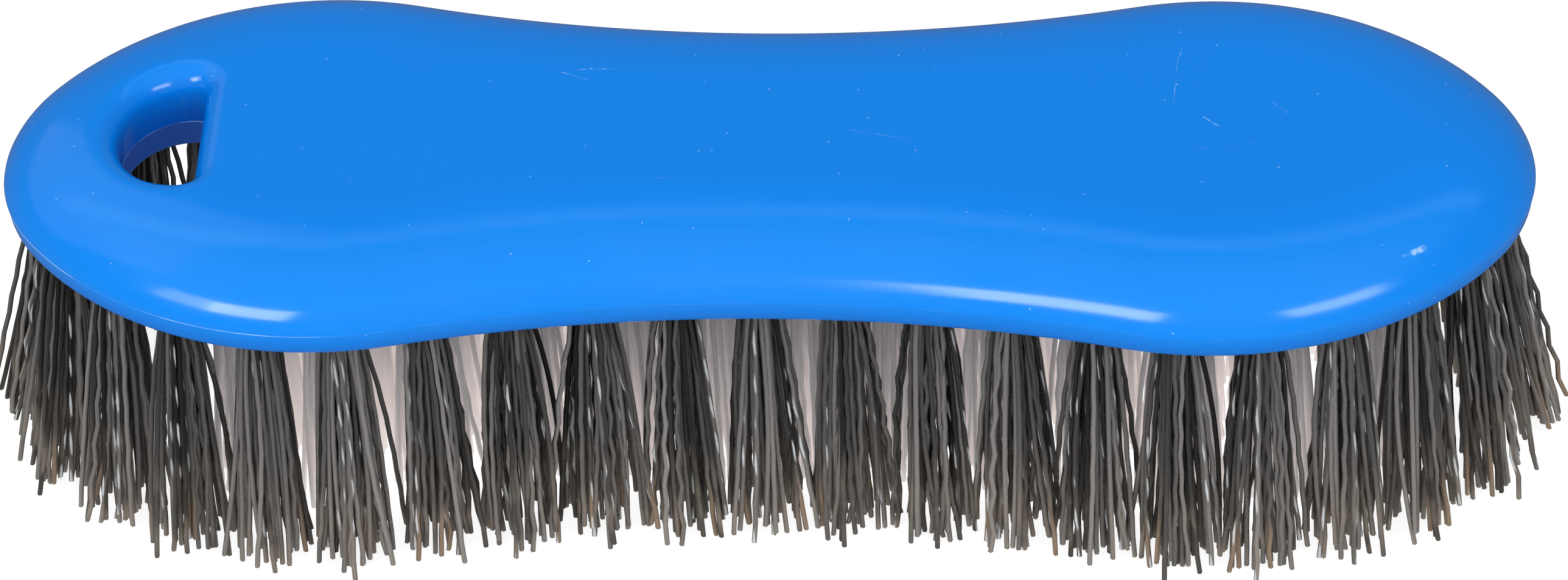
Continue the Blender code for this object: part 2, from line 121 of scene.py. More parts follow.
@dataclass
class BlockPlan:
    """The waisted outline of the block, drawn in tangent arcs a quarter at a time.

    Attributes:
        length: Length of the block.
        lobe_width: Width over the lobes.
        waist_width: Width at the waist.
        lobe_from_end: From the end to where the lobe is widest.
        end_radius: Radius of the ends.
        arc_steps: Points on the end, lobe and waist arcs of a quarter.
    """

    length: float
    lobe_width: float
    waist_width: float = 54.5 * MM
    lobe_from_end: float = 42 * MM
    end_radius: float = 26 * MM
    arc_steps: tuple[int, int, int] = (20, 30, 22)

    def quarter(self, depth: float = 0.0) -> list[Arc]:
        """Return the end, lobe and waist arcs of the +X +Y quarter.

        Args:
            depth: How far inside the outline the arcs lie.

        Returns:
            The three arcs, from the +X end to the middle of the waist.
        """
        half_lobe, half_waist = self.lobe_width / 2, self.waist_width / 2
        lobe_x = self.length / 2 - self.lobe_from_end
        end_centre = Vector((self.length / 2 - self.end_radius, 0.0))
        run = end_centre.x - lobe_x
        spare = half_lobe - self.end_radius
        lobe_radius = (run ** 2 + half_lobe ** 2 - self.end_radius ** 2) / (2 * spare)
        lobe_centre = Vector((lobe_x, half_lobe - lobe_radius))
        rise = half_waist - lobe_centre.y
        waist_radius = (lobe_x ** 2 + rise ** 2 - lobe_radius ** 2) / (2 * (lobe_radius - rise))
        waist_centre = Vector((0.0, half_waist + waist_radius))
        to_end, to_waist = end_centre - lobe_centre, waist_centre - lobe_centre
        end_angle = math.atan2(to_end.y, to_end.x)
        waist_angle = math.atan2(to_waist.y, to_waist.x)
        arcs = (
            Arc(end_centre, self.end_radius, 0.0, end_angle, 1),
            Arc(lobe_centre, lobe_radius, end_angle, waist_angle, 1),
            Arc(waist_centre, waist_radius, waist_angle - math.pi, -math.pi / 2, -1),
        )
        return [arc.inset(depth) for arc in arcs]

    def ring(self, depth: float) -> list[Vector]:
        """Draw a closed ring inside the outline.

        Args:
            depth: How far inside the outline it lies.

        Returns:
            Its plan points in order.
        """
        arcs = self.quarter(depth)
        quarter = [arc.at(s / n)[0] for arc, n in zip(arcs, self.arc_steps) for s in range(n)]
        half = quarter + [arcs[-1].at(1.0)[0]] + [Vector((-p.x, p.y)) for p in reversed(quarter)]
        return half + [Vector((p.x, -p.y)) for p in reversed(half[1:-1])]

    def quarter_length(self, depth: float) -> float:
        """Return the length of a quarter of the ring at a depth."""
        return sum(arc.length() for arc in self.quarter(depth))

    def walk(self, depth: float, distance: float) -> tuple[Vector, Vector]:
        """Walk along a ring from the +X end.

        Args:
            depth: How far inside the outline the ring lies.
            distance: Signed way to walk, positive along +Y.

        Returns:
            The point reached and the outward direction there.
        """
        quarter = self.quarter_length(depth)
        reach = abs(distance)
        turn = Vector((1.0, math.copysign(1.0, distance)))
        if reach > quarter:
            reach = 2 * quarter - reach
            turn.x = -1.0
        arcs = self.quarter(depth)
        for arc in arcs:
            if reach <= arc.length() or arc is arcs[-1]:
                point, outward = arc.at(min(reach / arc.length(), 1.0))
                return point * turn, outward * turn
            reach -= arc.length()
        raise ValueError("the ring has no arcs")

    def depth_of(self, points: np.ndarray) -> np.ndarray:
        """Return how far inside the outline each plan point lies.

        Args:
            points: Plan points, one a row.

        Returns:
            The distance of each to the outline.
        """
        x, y = np.abs(points[:, 0]), np.abs(points[:, 1])
        end, lobe, waist = self.quarter()
        to_end = (end.centre - lobe.centre).normalized()
        to_waist = (waist.centre - lobe.centre).normalized()
        lobe_x, lobe_y = x - lobe.centre.x, y - lobe.centre.y
        past_end = lobe_x * to_end.y - lobe_y * to_end.x > 0
        past_waist = lobe_x * to_waist.y - lobe_y * to_waist.x < 0
        in_end = end.radius - np.hypot(x - end.centre.x, y)
        in_lobe = lobe.radius - np.hypot(lobe_x, lobe_y)
        in_waist = np.hypot(x, y - waist.centre.y) - waist.radius
        return np.where(past_end, in_end, np.where(past_waist, in_waist, in_lobe))


def select_only(piece: bpy.types.Object) -> None:
    """Select one object alone and make it active.

    Args:
        piece: The object.
    """
    if bpy.context.object and bpy.context.object.mode != "OBJECT":
        bpy.ops.object.mode_set(mode="OBJECT")
    bpy.ops.object.select_all(action="DESELECT")
    piece.select_set(True)
    bpy.context.view_layer.objects.active = piece


def select_faces(piece: bpy.types.Object, wanted: Callable[[bmesh.types.BMFace], bool]) -> None:
    """Select some faces of a piece in edit mode, and no others.

    Args:
        piece: The piece.
        wanted: Says of a face whether it is selected.
    """
    shape = bmesh.from_edit_mesh(piece.data)
    bpy.ops.mesh.select_all(action="DESELECT")
    for face in shape.faces:
        if wanted(face):
            face.select_set(True)
    bmesh.update_edit_mesh(piece.data)


def inside_polygon(points: np.ndarray, polygon: np.ndarray) -> np.ndarray:
    """Say which plan points lie inside a closed polygon.

    Args:
        points: Plan points, one a row.
        polygon: Corners of the polygon in order, one a row.

    Returns:
        True for each point that lies inside.
    """
    x, y = points[:, :1], points[:, 1:]
    x0, y0 = polygon[:, 0], polygon[:, 1]
    x1, y1 = np.roll(x0, -1), np.roll(y0, -1)
    spans = (y0 > y) != (y1 > y)
    with np.errstate(divide="ignore", invalid="ignore"):
        crossing = x0 + (y - y0) * (x1 - x0) / (y1 - y0)
    return (spans & (x < crossing)).sum(axis=1) % 2 == 1


def triangulate(
    outline: np.ndarray, holes: Sequence[np.ndarray], inner: np.ndarray,
) -> tuple[np.ndarray, list[tuple[int, ...]]]:
    """Fill a flat region that has holes with triangles.

    Args:
        outline: Corners of the region's outline.
        holes: Corners of each hole.
        inner: Further points inside the region.

    Returns:
        The points used and the triangles between them.
    """
    loops = [outline, *holes]
    points = np.vstack([*loops, inner])
    edges, first = [], 0
    for loop in loops:
        edges += [(first + i, first + (i + 1) % len(loop)) for i in range(len(loop))]
        first += len(loop)
    found = geometry.delaunay_2d_cdt(
        [Vector(p) for p in (points / MM).tolist()], edges, [], ALL_TRIANGLES, MERGE_REACH, False,
    )
    spots = np.array([v[:] for v in found[0]]) * MM
    faces = [tuple(face) for face in found[2]]
    centres = np.array([spots[list(face)].mean(axis=0) for face in faces])
    keep = inside_polygon(centres, outline)
    for hole in holes:
        keep &= ~inside_polygon(centres, hole)
    return spots, [face for face, kept in zip(faces, keep) if kept]


def honeycomb(low: Sequence[float], high: Sequence[float], pitch: float) -> np.ndarray:
    """Spread points over a rectangle in even triangles.

    Args:
        low: The rectangle's lowest corner.
        high: Its highest corner.
        pitch: Distance between neighbouring points.

    Returns:
        The points, one a row.
    """
    rows = []
    row_pitch = pitch * math.sqrt(3) / 2
    for row in range(int((high[1] - low[1]) / row_pitch) + 1):
        start = low[0] + (row % 2) * pitch / 2
        count = int((high[0] - start) / pitch) + 1
        y = low[1] + row * row_pitch
        rows += [(start + i * pitch, y) for i in range(count)]
    return np.array(rows)


@dataclass
class HangingHole:
    """The D-shaped hole that the brush hangs by, its straight side to the middle.

    Attributes:
        straight_x: Where the straight side lies.
        depth: Size along the block.
        width: Size across the block.
        corner_radius: Radius of the two corners.
        rim_radius: Radius of the soft upper rim.
        lower_radius: Radius of the rim at the underside.
        flash_reach: How far the parting line's flash stands off the wall.
        flash_height: Height of the flash.
        corner_steps: Points on each corner.
        arc_steps: Points on the round side.
        straight_steps: Points on the straight side.
        rim_steps: Steps of the upper rim.
        lower_steps: Steps of the lower rim.
    """

    straight_x: float
    depth: float = 10.7 * MM
    width: float = 21.4 * MM
    corner_radius: float = 1.8 * MM
    rim_radius: float = 3.5 * MM
    lower_radius: float = 0.8 * MM
    flash_reach: float = 0.02 * MM
    flash_height: float = 0.08 * MM
    corner_steps: int = 8
    arc_steps: int = 56
    straight_steps: int = 20
    rim_steps: int = 14
    lower_steps: int = 5

    @property
    def corner_x(self) -> float:
        """Where the straight side's rounded corners have their centres."""
        return self.straight_x - self.corner_radius

    @property
    def reach(self) -> float:
        """How far the round side reaches from those centres."""
        return self.depth - self.corner_radius

    def outline(self) -> tuple[np.ndarray, np.ndarray]:
        """Draw the D.

        Returns:
            Its plan points in order and the outward direction at each.
        """
        corner_x, reach = self.corner_x, self.reach
        corner_y = self.width / 2 - self.corner_radius
        points, ways = [], []

        def add_corner(centre_y: float, quarter: int) -> None:
            """Add a rounded corner.

            Args:
                centre_y: Where its centre lies.
                quarter: Which quarter of a turn it sweeps.
            """
            for step in range(self.corner_steps):
                angle = math.pi / 2 * (quarter + step / self.corner_steps)
                way = (math.cos(angle), math.sin(angle))
                points.append((corner_x + way[0] * self.corner_radius,
                               centre_y + way[1] * self.corner_radius))
                ways.append(way)

        add_corner(corner_y, 0)
        for step in range(self.arc_steps):
            angle = math.pi / 2 + math.pi * step / self.arc_steps
            cos, sin = math.cos(angle), math.sin(angle)
            points.append((corner_x + reach * cos, self.width / 2 * sin))
            way = Vector((cos * self.width / 2, sin * reach)).normalized()
            ways.append(way[:])
        add_corner(-corner_y, 3)
        for step in range(self.straight_steps):
            y = corner_y * (2 * step / self.straight_steps - 1)
            points.append((self.straight_x, y))
            ways.append((1.0, 0.0))
        return np.array(points), np.array(ways)


@dataclass(frozen=True)
class Shoulder:
    """The crown's cross-section, drawn in tangent arcs from the parting line up.

    Attributes:
        tilts: Tilt of the surface from level at the ends of the arcs, in degrees.
        radii: Radius of each arc.
    """

    tilts: tuple[float, ...] = (90.0, 65.0, 35.0, 15.0, 0.0)
    radii: tuple[float, ...] = (2.5 * MM, 8.5 * MM, 16.0 * MM, 34.0 * MM)

    def points(self, rise: float, steps: int) -> np.ndarray:
        """Draw the cross-section.

        Args:
            rise: Height of the whole crown.
            steps: How many points each arc gets.

        Returns:
            Depth and height of each point, from the parting line to the flat top.
        """
        rows = [(0.0, 0.0)]
        for start, stop, radius in zip(self.tilts, self.tilts[1:], self.radii):
            depth, height = rows[-1]
            first = math.radians(start)
            for step in range(1, steps + 1):
                tilt = math.radians(start + (stop - start) * step / steps)
                rows.append((depth + radius * (math.sin(first) - math.sin(tilt)),
                             height + radius * (math.cos(tilt) - math.cos(first))))
        drawn = np.array(rows)
        return drawn * rise / drawn[-1, 1]


@dataclass
class MouldedBlock:
    """The moulded block with its crown, parting line, hanging hole and tuft holes.

    Attributes:
        plan: Its outline.
        hole: Its hanging hole.
        underside: Height of the underside.
        top: Height of the top.
        rim_height: Height of the rim, from the underside to the parting line.
        rim_draft: How far the rim draws in on its way down.
        rim_edge_radius: Radius of the rim's lower edge.
        shoulder: Cross-section of the crown.
        flash_reach: How far the parting line's flash stands out.
        flash_height: Height of the flash.
        field_depth: From the outline to the start of the crown's field.
        field_pitch: Distance between the field's points.
        edge_share: Share of the pitch that they keep off the field's edge.
        rim_share: Share of the pitch that they keep off the hole's rim.
        least_step: Least way between the last step of the shoulder and the field.
        flash_step: Drop of the step from the flash back to the rim.
        weld: Distance below which points are merged.
        smooth_angle: Degrees up to which an edge is shaded smooth.
        section_steps: Points on each arc where the crown's height is looked up.
        crown_steps: Steps of each arc of the shoulder.
        rim_steps: Steps of the rim's lower edge.
        tuft_hole_radius: Radius of a tuft hole.
        tuft_hole_depth: Depth of a tuft hole as far as it can be seen.
        tuft_hole_sides: Sides of a tuft hole.
    """

    plan: BlockPlan
    hole: HangingHole
    underside: float
    top: float
    rim_height: float = 4 * MM
    rim_draft: float = 0.3 * MM
    rim_edge_radius: float = 2.3 * MM
    shoulder: Shoulder = Shoulder()
    flash_reach: float = 0.04 * MM
    flash_height: float = 0.10 * MM
    field_depth: float = 9.5 * MM
    field_pitch: float = 1.3 * MM
    edge_share: float = 0.5
    rim_share: float = 0.6
    least_step: float = 0.3 * MM
    flash_step: float = 0.02 * MM
    weld: float = 0.002 * MM
    smooth_angle: float = 38.0
    section_steps: int = 200
    crown_steps: int = 9
    rim_steps: int = 9
    tuft_hole_radius: float = 2.75 * MM
    tuft_hole_depth: float = 2.5 * MM
    tuft_hole_sides: int = 20

    @property
    def parting(self) -> float:
        """Height of the parting line."""
        return self.underside + self.rim_height

    @property
    def field_height(self) -> float:
        """Height of the crown where its field starts."""
        return float(self.crown(np.array([self.field_depth]))[0])

    def crown(self, depth: np.ndarray) -> np.ndarray:
        """Return the height of the crown at a depth inside the outline."""
        drawn = self.shoulder.points(self.top - self.parting, self.section_steps)
        return self.parting + np.interp(depth, drawn[:, 0], drawn[:, 1])

    def model(self, tufts: Iterable[Vector]) -> bpy.types.Object:
        """Model the block.

        Args:
            tufts: Where the tufts stand.

        Returns:
            The finished block.
        """
        block = self.shell()
        shape = bmesh.new()
        shape.from_mesh(block.data)
        self.add_top(shape)
        self.add_underside(shape, tufts)
        bmesh.ops.remove_doubles(shape, verts=shape.verts, dist=self.weld)
        bmesh.ops.recalc_face_normals(shape, faces=shape.faces)
        shape.to_mesh(block.data)
        shape.free()
        select_only(block)
        bpy.ops.object.shade_smooth_by_angle(angle=math.radians(self.smooth_angle))
        return block

    def shell(self) -> bpy.types.Object:
        """Model the outer skin from the underside's edge to the start of the crown's field.

        Returns:
            The skin, open at both.
        """
        ring = self.plan.ring(-self.flash_reach)
        bpy.ops.object.select_all(action="DESELECT")
        bpy.ops.mesh.primitive_circle_add(vertices=len(ring), radius=1, fill_type="NGON")
        block = bpy.context.object
        block.name = block.data.name = "moulded_block"
        flash_top = self.parting + self.flash_height / 2
        for vert, point in zip(block.data.vertices, reversed(ring)):
            vert.co = (*point, flash_top)
        bpy.ops.object.mode_set(mode="EDIT")
        bpy.ops.mesh.select_mode(type="FACE")
        bpy.ops.mesh.select_all(action="SELECT")
        bpy.ops.mesh.extrude_region_move(
            TRANSFORM_OT_translate={"value": (0, 0, -self.flash_height)},
        )
        bpy.ops.mesh.select_all(action="SELECT")
        bpy.ops.mesh.normals_make_consistent(inside=False)

        select_faces(block, lambda face: face.normal.z > LEVEL_COSINE)
        field_rise = self.field_height - self.parting
        drawn = self.shoulder.points(self.top - self.parting, self.crown_steps)[1:]
        drawn = drawn[drawn[:, 0] < self.field_depth - self.least_step]
        steps = [*drawn, (self.field_depth, field_rise)]
        self.inset_profile([
            (self.flash_reach + inward, rise - self.flash_height / 2) for inward, rise in steps
            if rise > self.flash_height
        ])
        select_faces(block, lambda face: face.normal.z < -LEVEL_COSINE)
        draft_drop = self.rim_height - self.rim_edge_radius - self.flash_height / 2
        profile = [
            (self.flash_reach, self.flash_step), (self.flash_reach + self.rim_draft, draft_drop),
        ]
        for step in range(1, self.rim_steps + 1):
            angle = math.pi / 2 * step / self.rim_steps
            inward = self.rim_edge_radius * (1 - math.cos(angle))
            profile.append((profile[1][0] + inward,
                            draft_drop + self.rim_edge_radius * math.sin(angle)))
        self.inset_profile(profile)
        open_heights = (self.underside, self.field_height)
        select_faces(block, lambda face: len(face.verts) > 4 and any(
            abs(face.calc_center_median().z - height) < HEIGHT_SLACK for height in open_heights
        ))
        bpy.ops.mesh.delete(type="ONLY_FACE")
        bpy.ops.object.mode_set(mode="OBJECT")
        return block

    @staticmethod
    def inset_profile(profile: Sequence[tuple[float, float]]) -> None:
        """Inset the selected face step by step along a profile.

        Args:
            profile: How far in and how far out of the face each step lies, in all.
        """
        last_in = last_out = 0.0
        for inward, outward in profile:
            bpy.ops.mesh.inset(thickness=inward - last_in, depth=outward - last_out)
            last_in, last_out = inward, outward

    @staticmethod
    def open_loop(shape: bmesh.types.BMesh, height: float) -> np.ndarray:
        """Follow the open edge at a height.

        Args:
            shape: The mesh.
            height: Where the edge lies.

        Returns:
            Its plan points in order.
        """
        edge = next(
            e for e in shape.edges
            if e.is_boundary and abs(e.verts[0].co.z - height) < HEIGHT_SLACK
        )
        vert, loop = edge.verts[0], []
        while True:
            loop.append((vert.co.x, vert.co.y))
            vert = edge.other_vert(vert)
            if (vert.co.x, vert.co.y) == loop[0]:
                return np.array(loop)
            edge = next(e for e in vert.link_edges if e.is_boundary and e is not edge)

    @staticmethod
    def add_strip(shape: bmesh.types.BMesh, rings: Sequence[np.ndarray]) -> None:
        """Skin a stack of closed rings.

        Args:
            shape: The mesh that takes the skin.
            rings: The rings' points, as many in each.
        """
        loops = [[shape.verts.new(point) for point in ring.tolist()] for ring in rings]
        for low, high in zip(loops, loops[1:]):
            for here in range(len(low)):
                after = (here + 1) % len(low)
                shape.faces.new((low[here], low[after], high[after], high[here]))

    @staticmethod
    def add_field(
        shape: bmesh.types.BMesh, outline: np.ndarray, holes: Sequence[np.ndarray],
        inner: np.ndarray, heights: Callable[[np.ndarray], np.ndarray],
    ) -> None:
        """Fill a region that has holes and lift its points to their heights.

        Args:
            shape: The mesh that takes the faces.
            outline: Corners of the region's outline.
            holes: Corners of each hole.
            inner: Further points inside the region.
            heights: Gives the heights of plan points.
        """
        spots, faces = triangulate(outline, holes, inner)
        used = sorted({corner for face in faces for corner in face})
        lifted = heights(spots)
        verts = {i: shape.verts.new((*spots[i], lifted[i])) for i in used}
        for face in faces:
            shape.faces.new([verts[corner] for corner in face])

    def add_top(self, shape: bmesh.types.BMesh) -> None:
        """Add the field of the crown and the wall and rims of the hanging hole.

        Args:
            shape: The mesh that takes them.
        """
        hole = self.hole
        points, ways = hole.outline()
        crest = self.crown(self.plan.depth_of(points + ways * hole.rim_radius))

        def ring(out: float, height: np.ndarray | float) -> np.ndarray:
            """Return the D drawn a little larger and lifted to a height."""
            spots = points + ways * out
            return np.column_stack([spots, np.broadcast_to(height, len(spots))])

        rings = []
        for step in range(hole.rim_steps + 1):
            angle = math.pi / 2 * (1 - step / hole.rim_steps)
            out = hole.rim_radius * (1 - math.cos(angle))
            rings.append(ring(out, crest - hole.rim_radius * (1 - math.sin(angle))))
        half_flash = hole.flash_height / 2
        rings += [
            ring(0.0, self.parting + half_flash),
            ring(-hole.flash_reach, self.parting),
            ring(0.0, self.parting - half_flash),
            ring(0.0, self.underside + hole.lower_radius),
        ]
        for step in range(1, hole.lower_steps + 1):
            angle = math.pi / 2 * step / hole.lower_steps
            rings.append(ring(hole.lower_radius * (1 - math.cos(angle)),
                              self.underside + hole.lower_radius * (1 - math.sin(angle))))
        self.add_strip(shape, rings)

        outline = self.open_loop(shape, self.field_height)
        rim = points + ways * hole.rim_radius
        inner = honeycomb(outline.min(axis=0), outline.max(axis=0), self.field_pitch)
        least_depth = self.field_depth + self.edge_share * self.field_pitch
        inner = inner[self.plan.depth_of(inner) > least_depth]
        near = np.array([np.hypot(*(rim - p).T).min() for p in inner])
        free = (near > self.rim_share * self.field_pitch) & ~inside_polygon(inner, rim)
        self.add_field(
            shape, outline, [rim], inner[free],
            lambda spots: self.crown(self.plan.depth_of(spots)),
        )

    def add_underside(self, shape: bmesh.types.BMesh, tufts: Iterable[Vector]) -> None:
        """Add the flat underside with the hanging hole's mouth and the tuft holes.

        Args:
            shape: The mesh that takes it.
            tufts: Where the tufts stand.
        """
        points, ways = self.hole.outline()
        mouths = [points + ways * self.hole.lower_radius]
        turns = np.arange(self.tuft_hole_sides) * 2 * math.pi / self.tuft_hole_sides
        circle = np.column_stack([np.cos(turns), np.sin(turns)]) * self.tuft_hole_radius
        for place in tufts:
            mouths.append(circle + np.array(place[:2]))
        outline = self.open_loop(shape, self.underside)
        self.add_field(
            shape, outline, mouths, np.empty((0, 2)),
            lambda spots: np.full(len(spots), self.underside),
        )
        for mouth in mouths[1:]:
            walls = [np.column_stack([mouth, np.full(len(mouth), self.underside + rise)])
                     for rise in (0.0, self.tuft_hole_depth)]
            self.add_strip(shape, walls)
            shape.faces.new([shape.verts.new(point) for point in walls[1].tolist()])


@dataclass
class TuftLayout:
    """Where the tufts stand: rings at even steps and rows along the middle.

    Attributes:
        plan: The block's outline.
        hole_x: Where the hanging hole's straight side lies.
        outer_tufts: How many grey tufts go round the block.
        outer_inset: From the outline to their ring.
        ring_gap: From that ring to the white one.
        ring_tufts: How many tufts the white ring has.
        ring_group: How many of them share a node.
        ring_end_group: How many share the node at the far end.
        ring_end_clearance: From the hanging hole to the ring's ends.
        row_stations: Stations along the middle, on each side.
        row_end_clearance: From the hanging hole to the last of them.
        row_gap_share: Gap between a lobe's two rows, as a share of the inner width.
        waist_stations: Stations on each side that lie in the waist.
        search_rounds: Rounds of the search for the ring's ends.
    """

    plan: BlockPlan
    hole_x: float
    outer_tufts: int = 40
    outer_inset: float = 6 * MM
    ring_gap: float = 10.7 * MM
    ring_tufts: int = 27
    ring_group: int = 4
    ring_end_group: int = 3
    ring_end_clearance: float = 5.5 * MM
    row_stations: int = 6
    row_end_clearance: float = 8.5 * MM
    row_gap_share: float = 0.3
    waist_stations: int = 3
    search_rounds: int = 40

    def outer(self) -> list[Spot]:
        """Space the grey tufts evenly round the block.

        Returns:
            Their spots.
        """
        around = 4 * self.plan.quarter_length(self.outer_inset)
        places = []
        for index in range(self.outer_tufts):
            distance = index * around / self.outer_tufts
            if distance > around / 2:
                distance -= around
            places.append(self.plan.walk(self.outer_inset, distance))
        return places

    def ring(self) -> list[Spot]:
        """Space the white ring, which stays open at the hanging hole.

        Returns:
            Its spots.
        """
        depth = self.outer_inset + self.ring_gap
        near = self.plan.quarter_length(depth)
        far = 2 * near
        stop_x = self.hole_x + self.ring_end_clearance
        for _ in range(self.search_rounds):
            middle = (near + far) / 2
            if self.plan.walk(depth, middle)[0].x > stop_x:
                near = middle
            else:
                far = middle
        last = (self.ring_tufts - 1) // 2
        return [self.plan.walk(depth, near * index / last) for index in range(-last, last + 1)]

    @property
    def row_pitch(self) -> float:
        """Distance between stations along the middle."""
        return (-self.hole_x - self.row_end_clearance) / self.row_stations

    def waist(self) -> list[Spot]:
        """Return the spots of the white tufts that stand alone along the waist."""
        stations = range(-self.waist_stations, self.waist_stations + 1)
        return [(Vector((s * self.row_pitch, 0.0)), Vector((0.0, 1.0))) for s in stations]

    def groups(self) -> list[list[Spot]]:
        """Space the white tufts that share a node.

        Returns:
            Their spots, group by group.
        """
        ring = self.ring()
        start = (len(ring) - self.ring_end_group) // 2
        stop = start + self.ring_end_group
        step = self.ring_group
        groups = [ring[at:at + step] for at in range(0, start, step)] + [ring[start:stop]]
        groups += [ring[at:at + step] for at in range(stop, len(ring), step)]
        inner_width = self.plan.lobe_width - 2 * (self.outer_inset + self.ring_gap)
        for side_x in (-1, 1):
            for side_y in (-1, 1):
                y = side_y * inner_width * self.row_gap_share / 2
                stations = range(self.waist_stations + 1, self.row_stations + 1)
                groups.append([
                    (Vector((side_x * s * self.row_pitch, y)), Vector((0.0, side_y)))
                    for s in stations
                ])
        return groups


@dataclass
class Filament:
    """One crimped filament, modelled once and copied into every tuft.

    Its rings lie on the bends of the crimp, so each stretch between two bends is
    straight, as on the real strand.

    Attributes:
        radius: Radius of the strand.
        sides: Its sides.
        bends: How many bends it has.
        crimp: How far a bend stands off the middle.
        crimp_range: Least and greatest share of it, before it is squared.
        waver: How uneven the bends are.
        crest_share: Share of the radius from which a point counts as on the outer side.
    """

    radius: float = 0.36 * MM
    sides: int = 5
    bends: int = 12
    crimp: float = 0.085 * MM
    crimp_range: tuple[float, float] = (0.3, 1.7)
    waver: float = 0.3
    crest_share: float = 0.9

    def model(self, seed: int) -> tuple[np.ndarray, list[tuple[int, ...]], np.ndarray]:
        """Model the filament hanging down one unit of length.

        Args:
            seed: Makes each variant's crimp its own.

        Returns:
            Its points, with z from 0 down to -1, its faces, and 1 for each point on the outer side
            of a bend, where a highlight is painted on the strand.
        """
        random = np.random.default_rng(seed)
        crimp = self.crimp * random.uniform(*self.crimp_range) ** 2
        bpy.ops.object.select_all(action="DESELECT")
        bpy.ops.mesh.primitive_circle_add(vertices=self.sides, radius=self.radius, fill_type="NGON")
        strand = bpy.context.object
        bpy.ops.object.mode_set(mode="EDIT")
        bpy.ops.mesh.select_all(action="SELECT")
        last = np.zeros(2)
        for bend in range(1, self.bends + 1):
            side = crimp * (-1) ** bend * (1 + random.uniform(-self.waver, self.waver))
            here = np.array([side, crimp * random.uniform(-self.waver, self.waver)])
            step = here - last
            bpy.ops.mesh.extrude_region_move(
                TRANSFORM_OT_translate={"value": (*step, -1 / self.bends)},
            )
            last = here
        bpy.ops.mesh.select_all(action="SELECT")
        bpy.ops.mesh.normals_make_consistent(inside=False)
        bpy.ops.object.mode_set(mode="OBJECT")
        points = np.array([v.co[:] for v in strand.data.vertices])
        faces = [tuple(p.vertices) for p in strand.data.polygons]
        bpy.data.objects.remove(strand, do_unlink=True)
        ring = np.rint(-points[:, 2] * self.bends).astype(int)
        middles = np.array([points[ring == r, 0].mean() for r in range(self.bends + 1)])
        out = points[:, 0] - middles[ring]
        crest = (ring % 2 == 0) & (out > self.crest_share * self.radius)
        return points, faces, crest.astype(float)


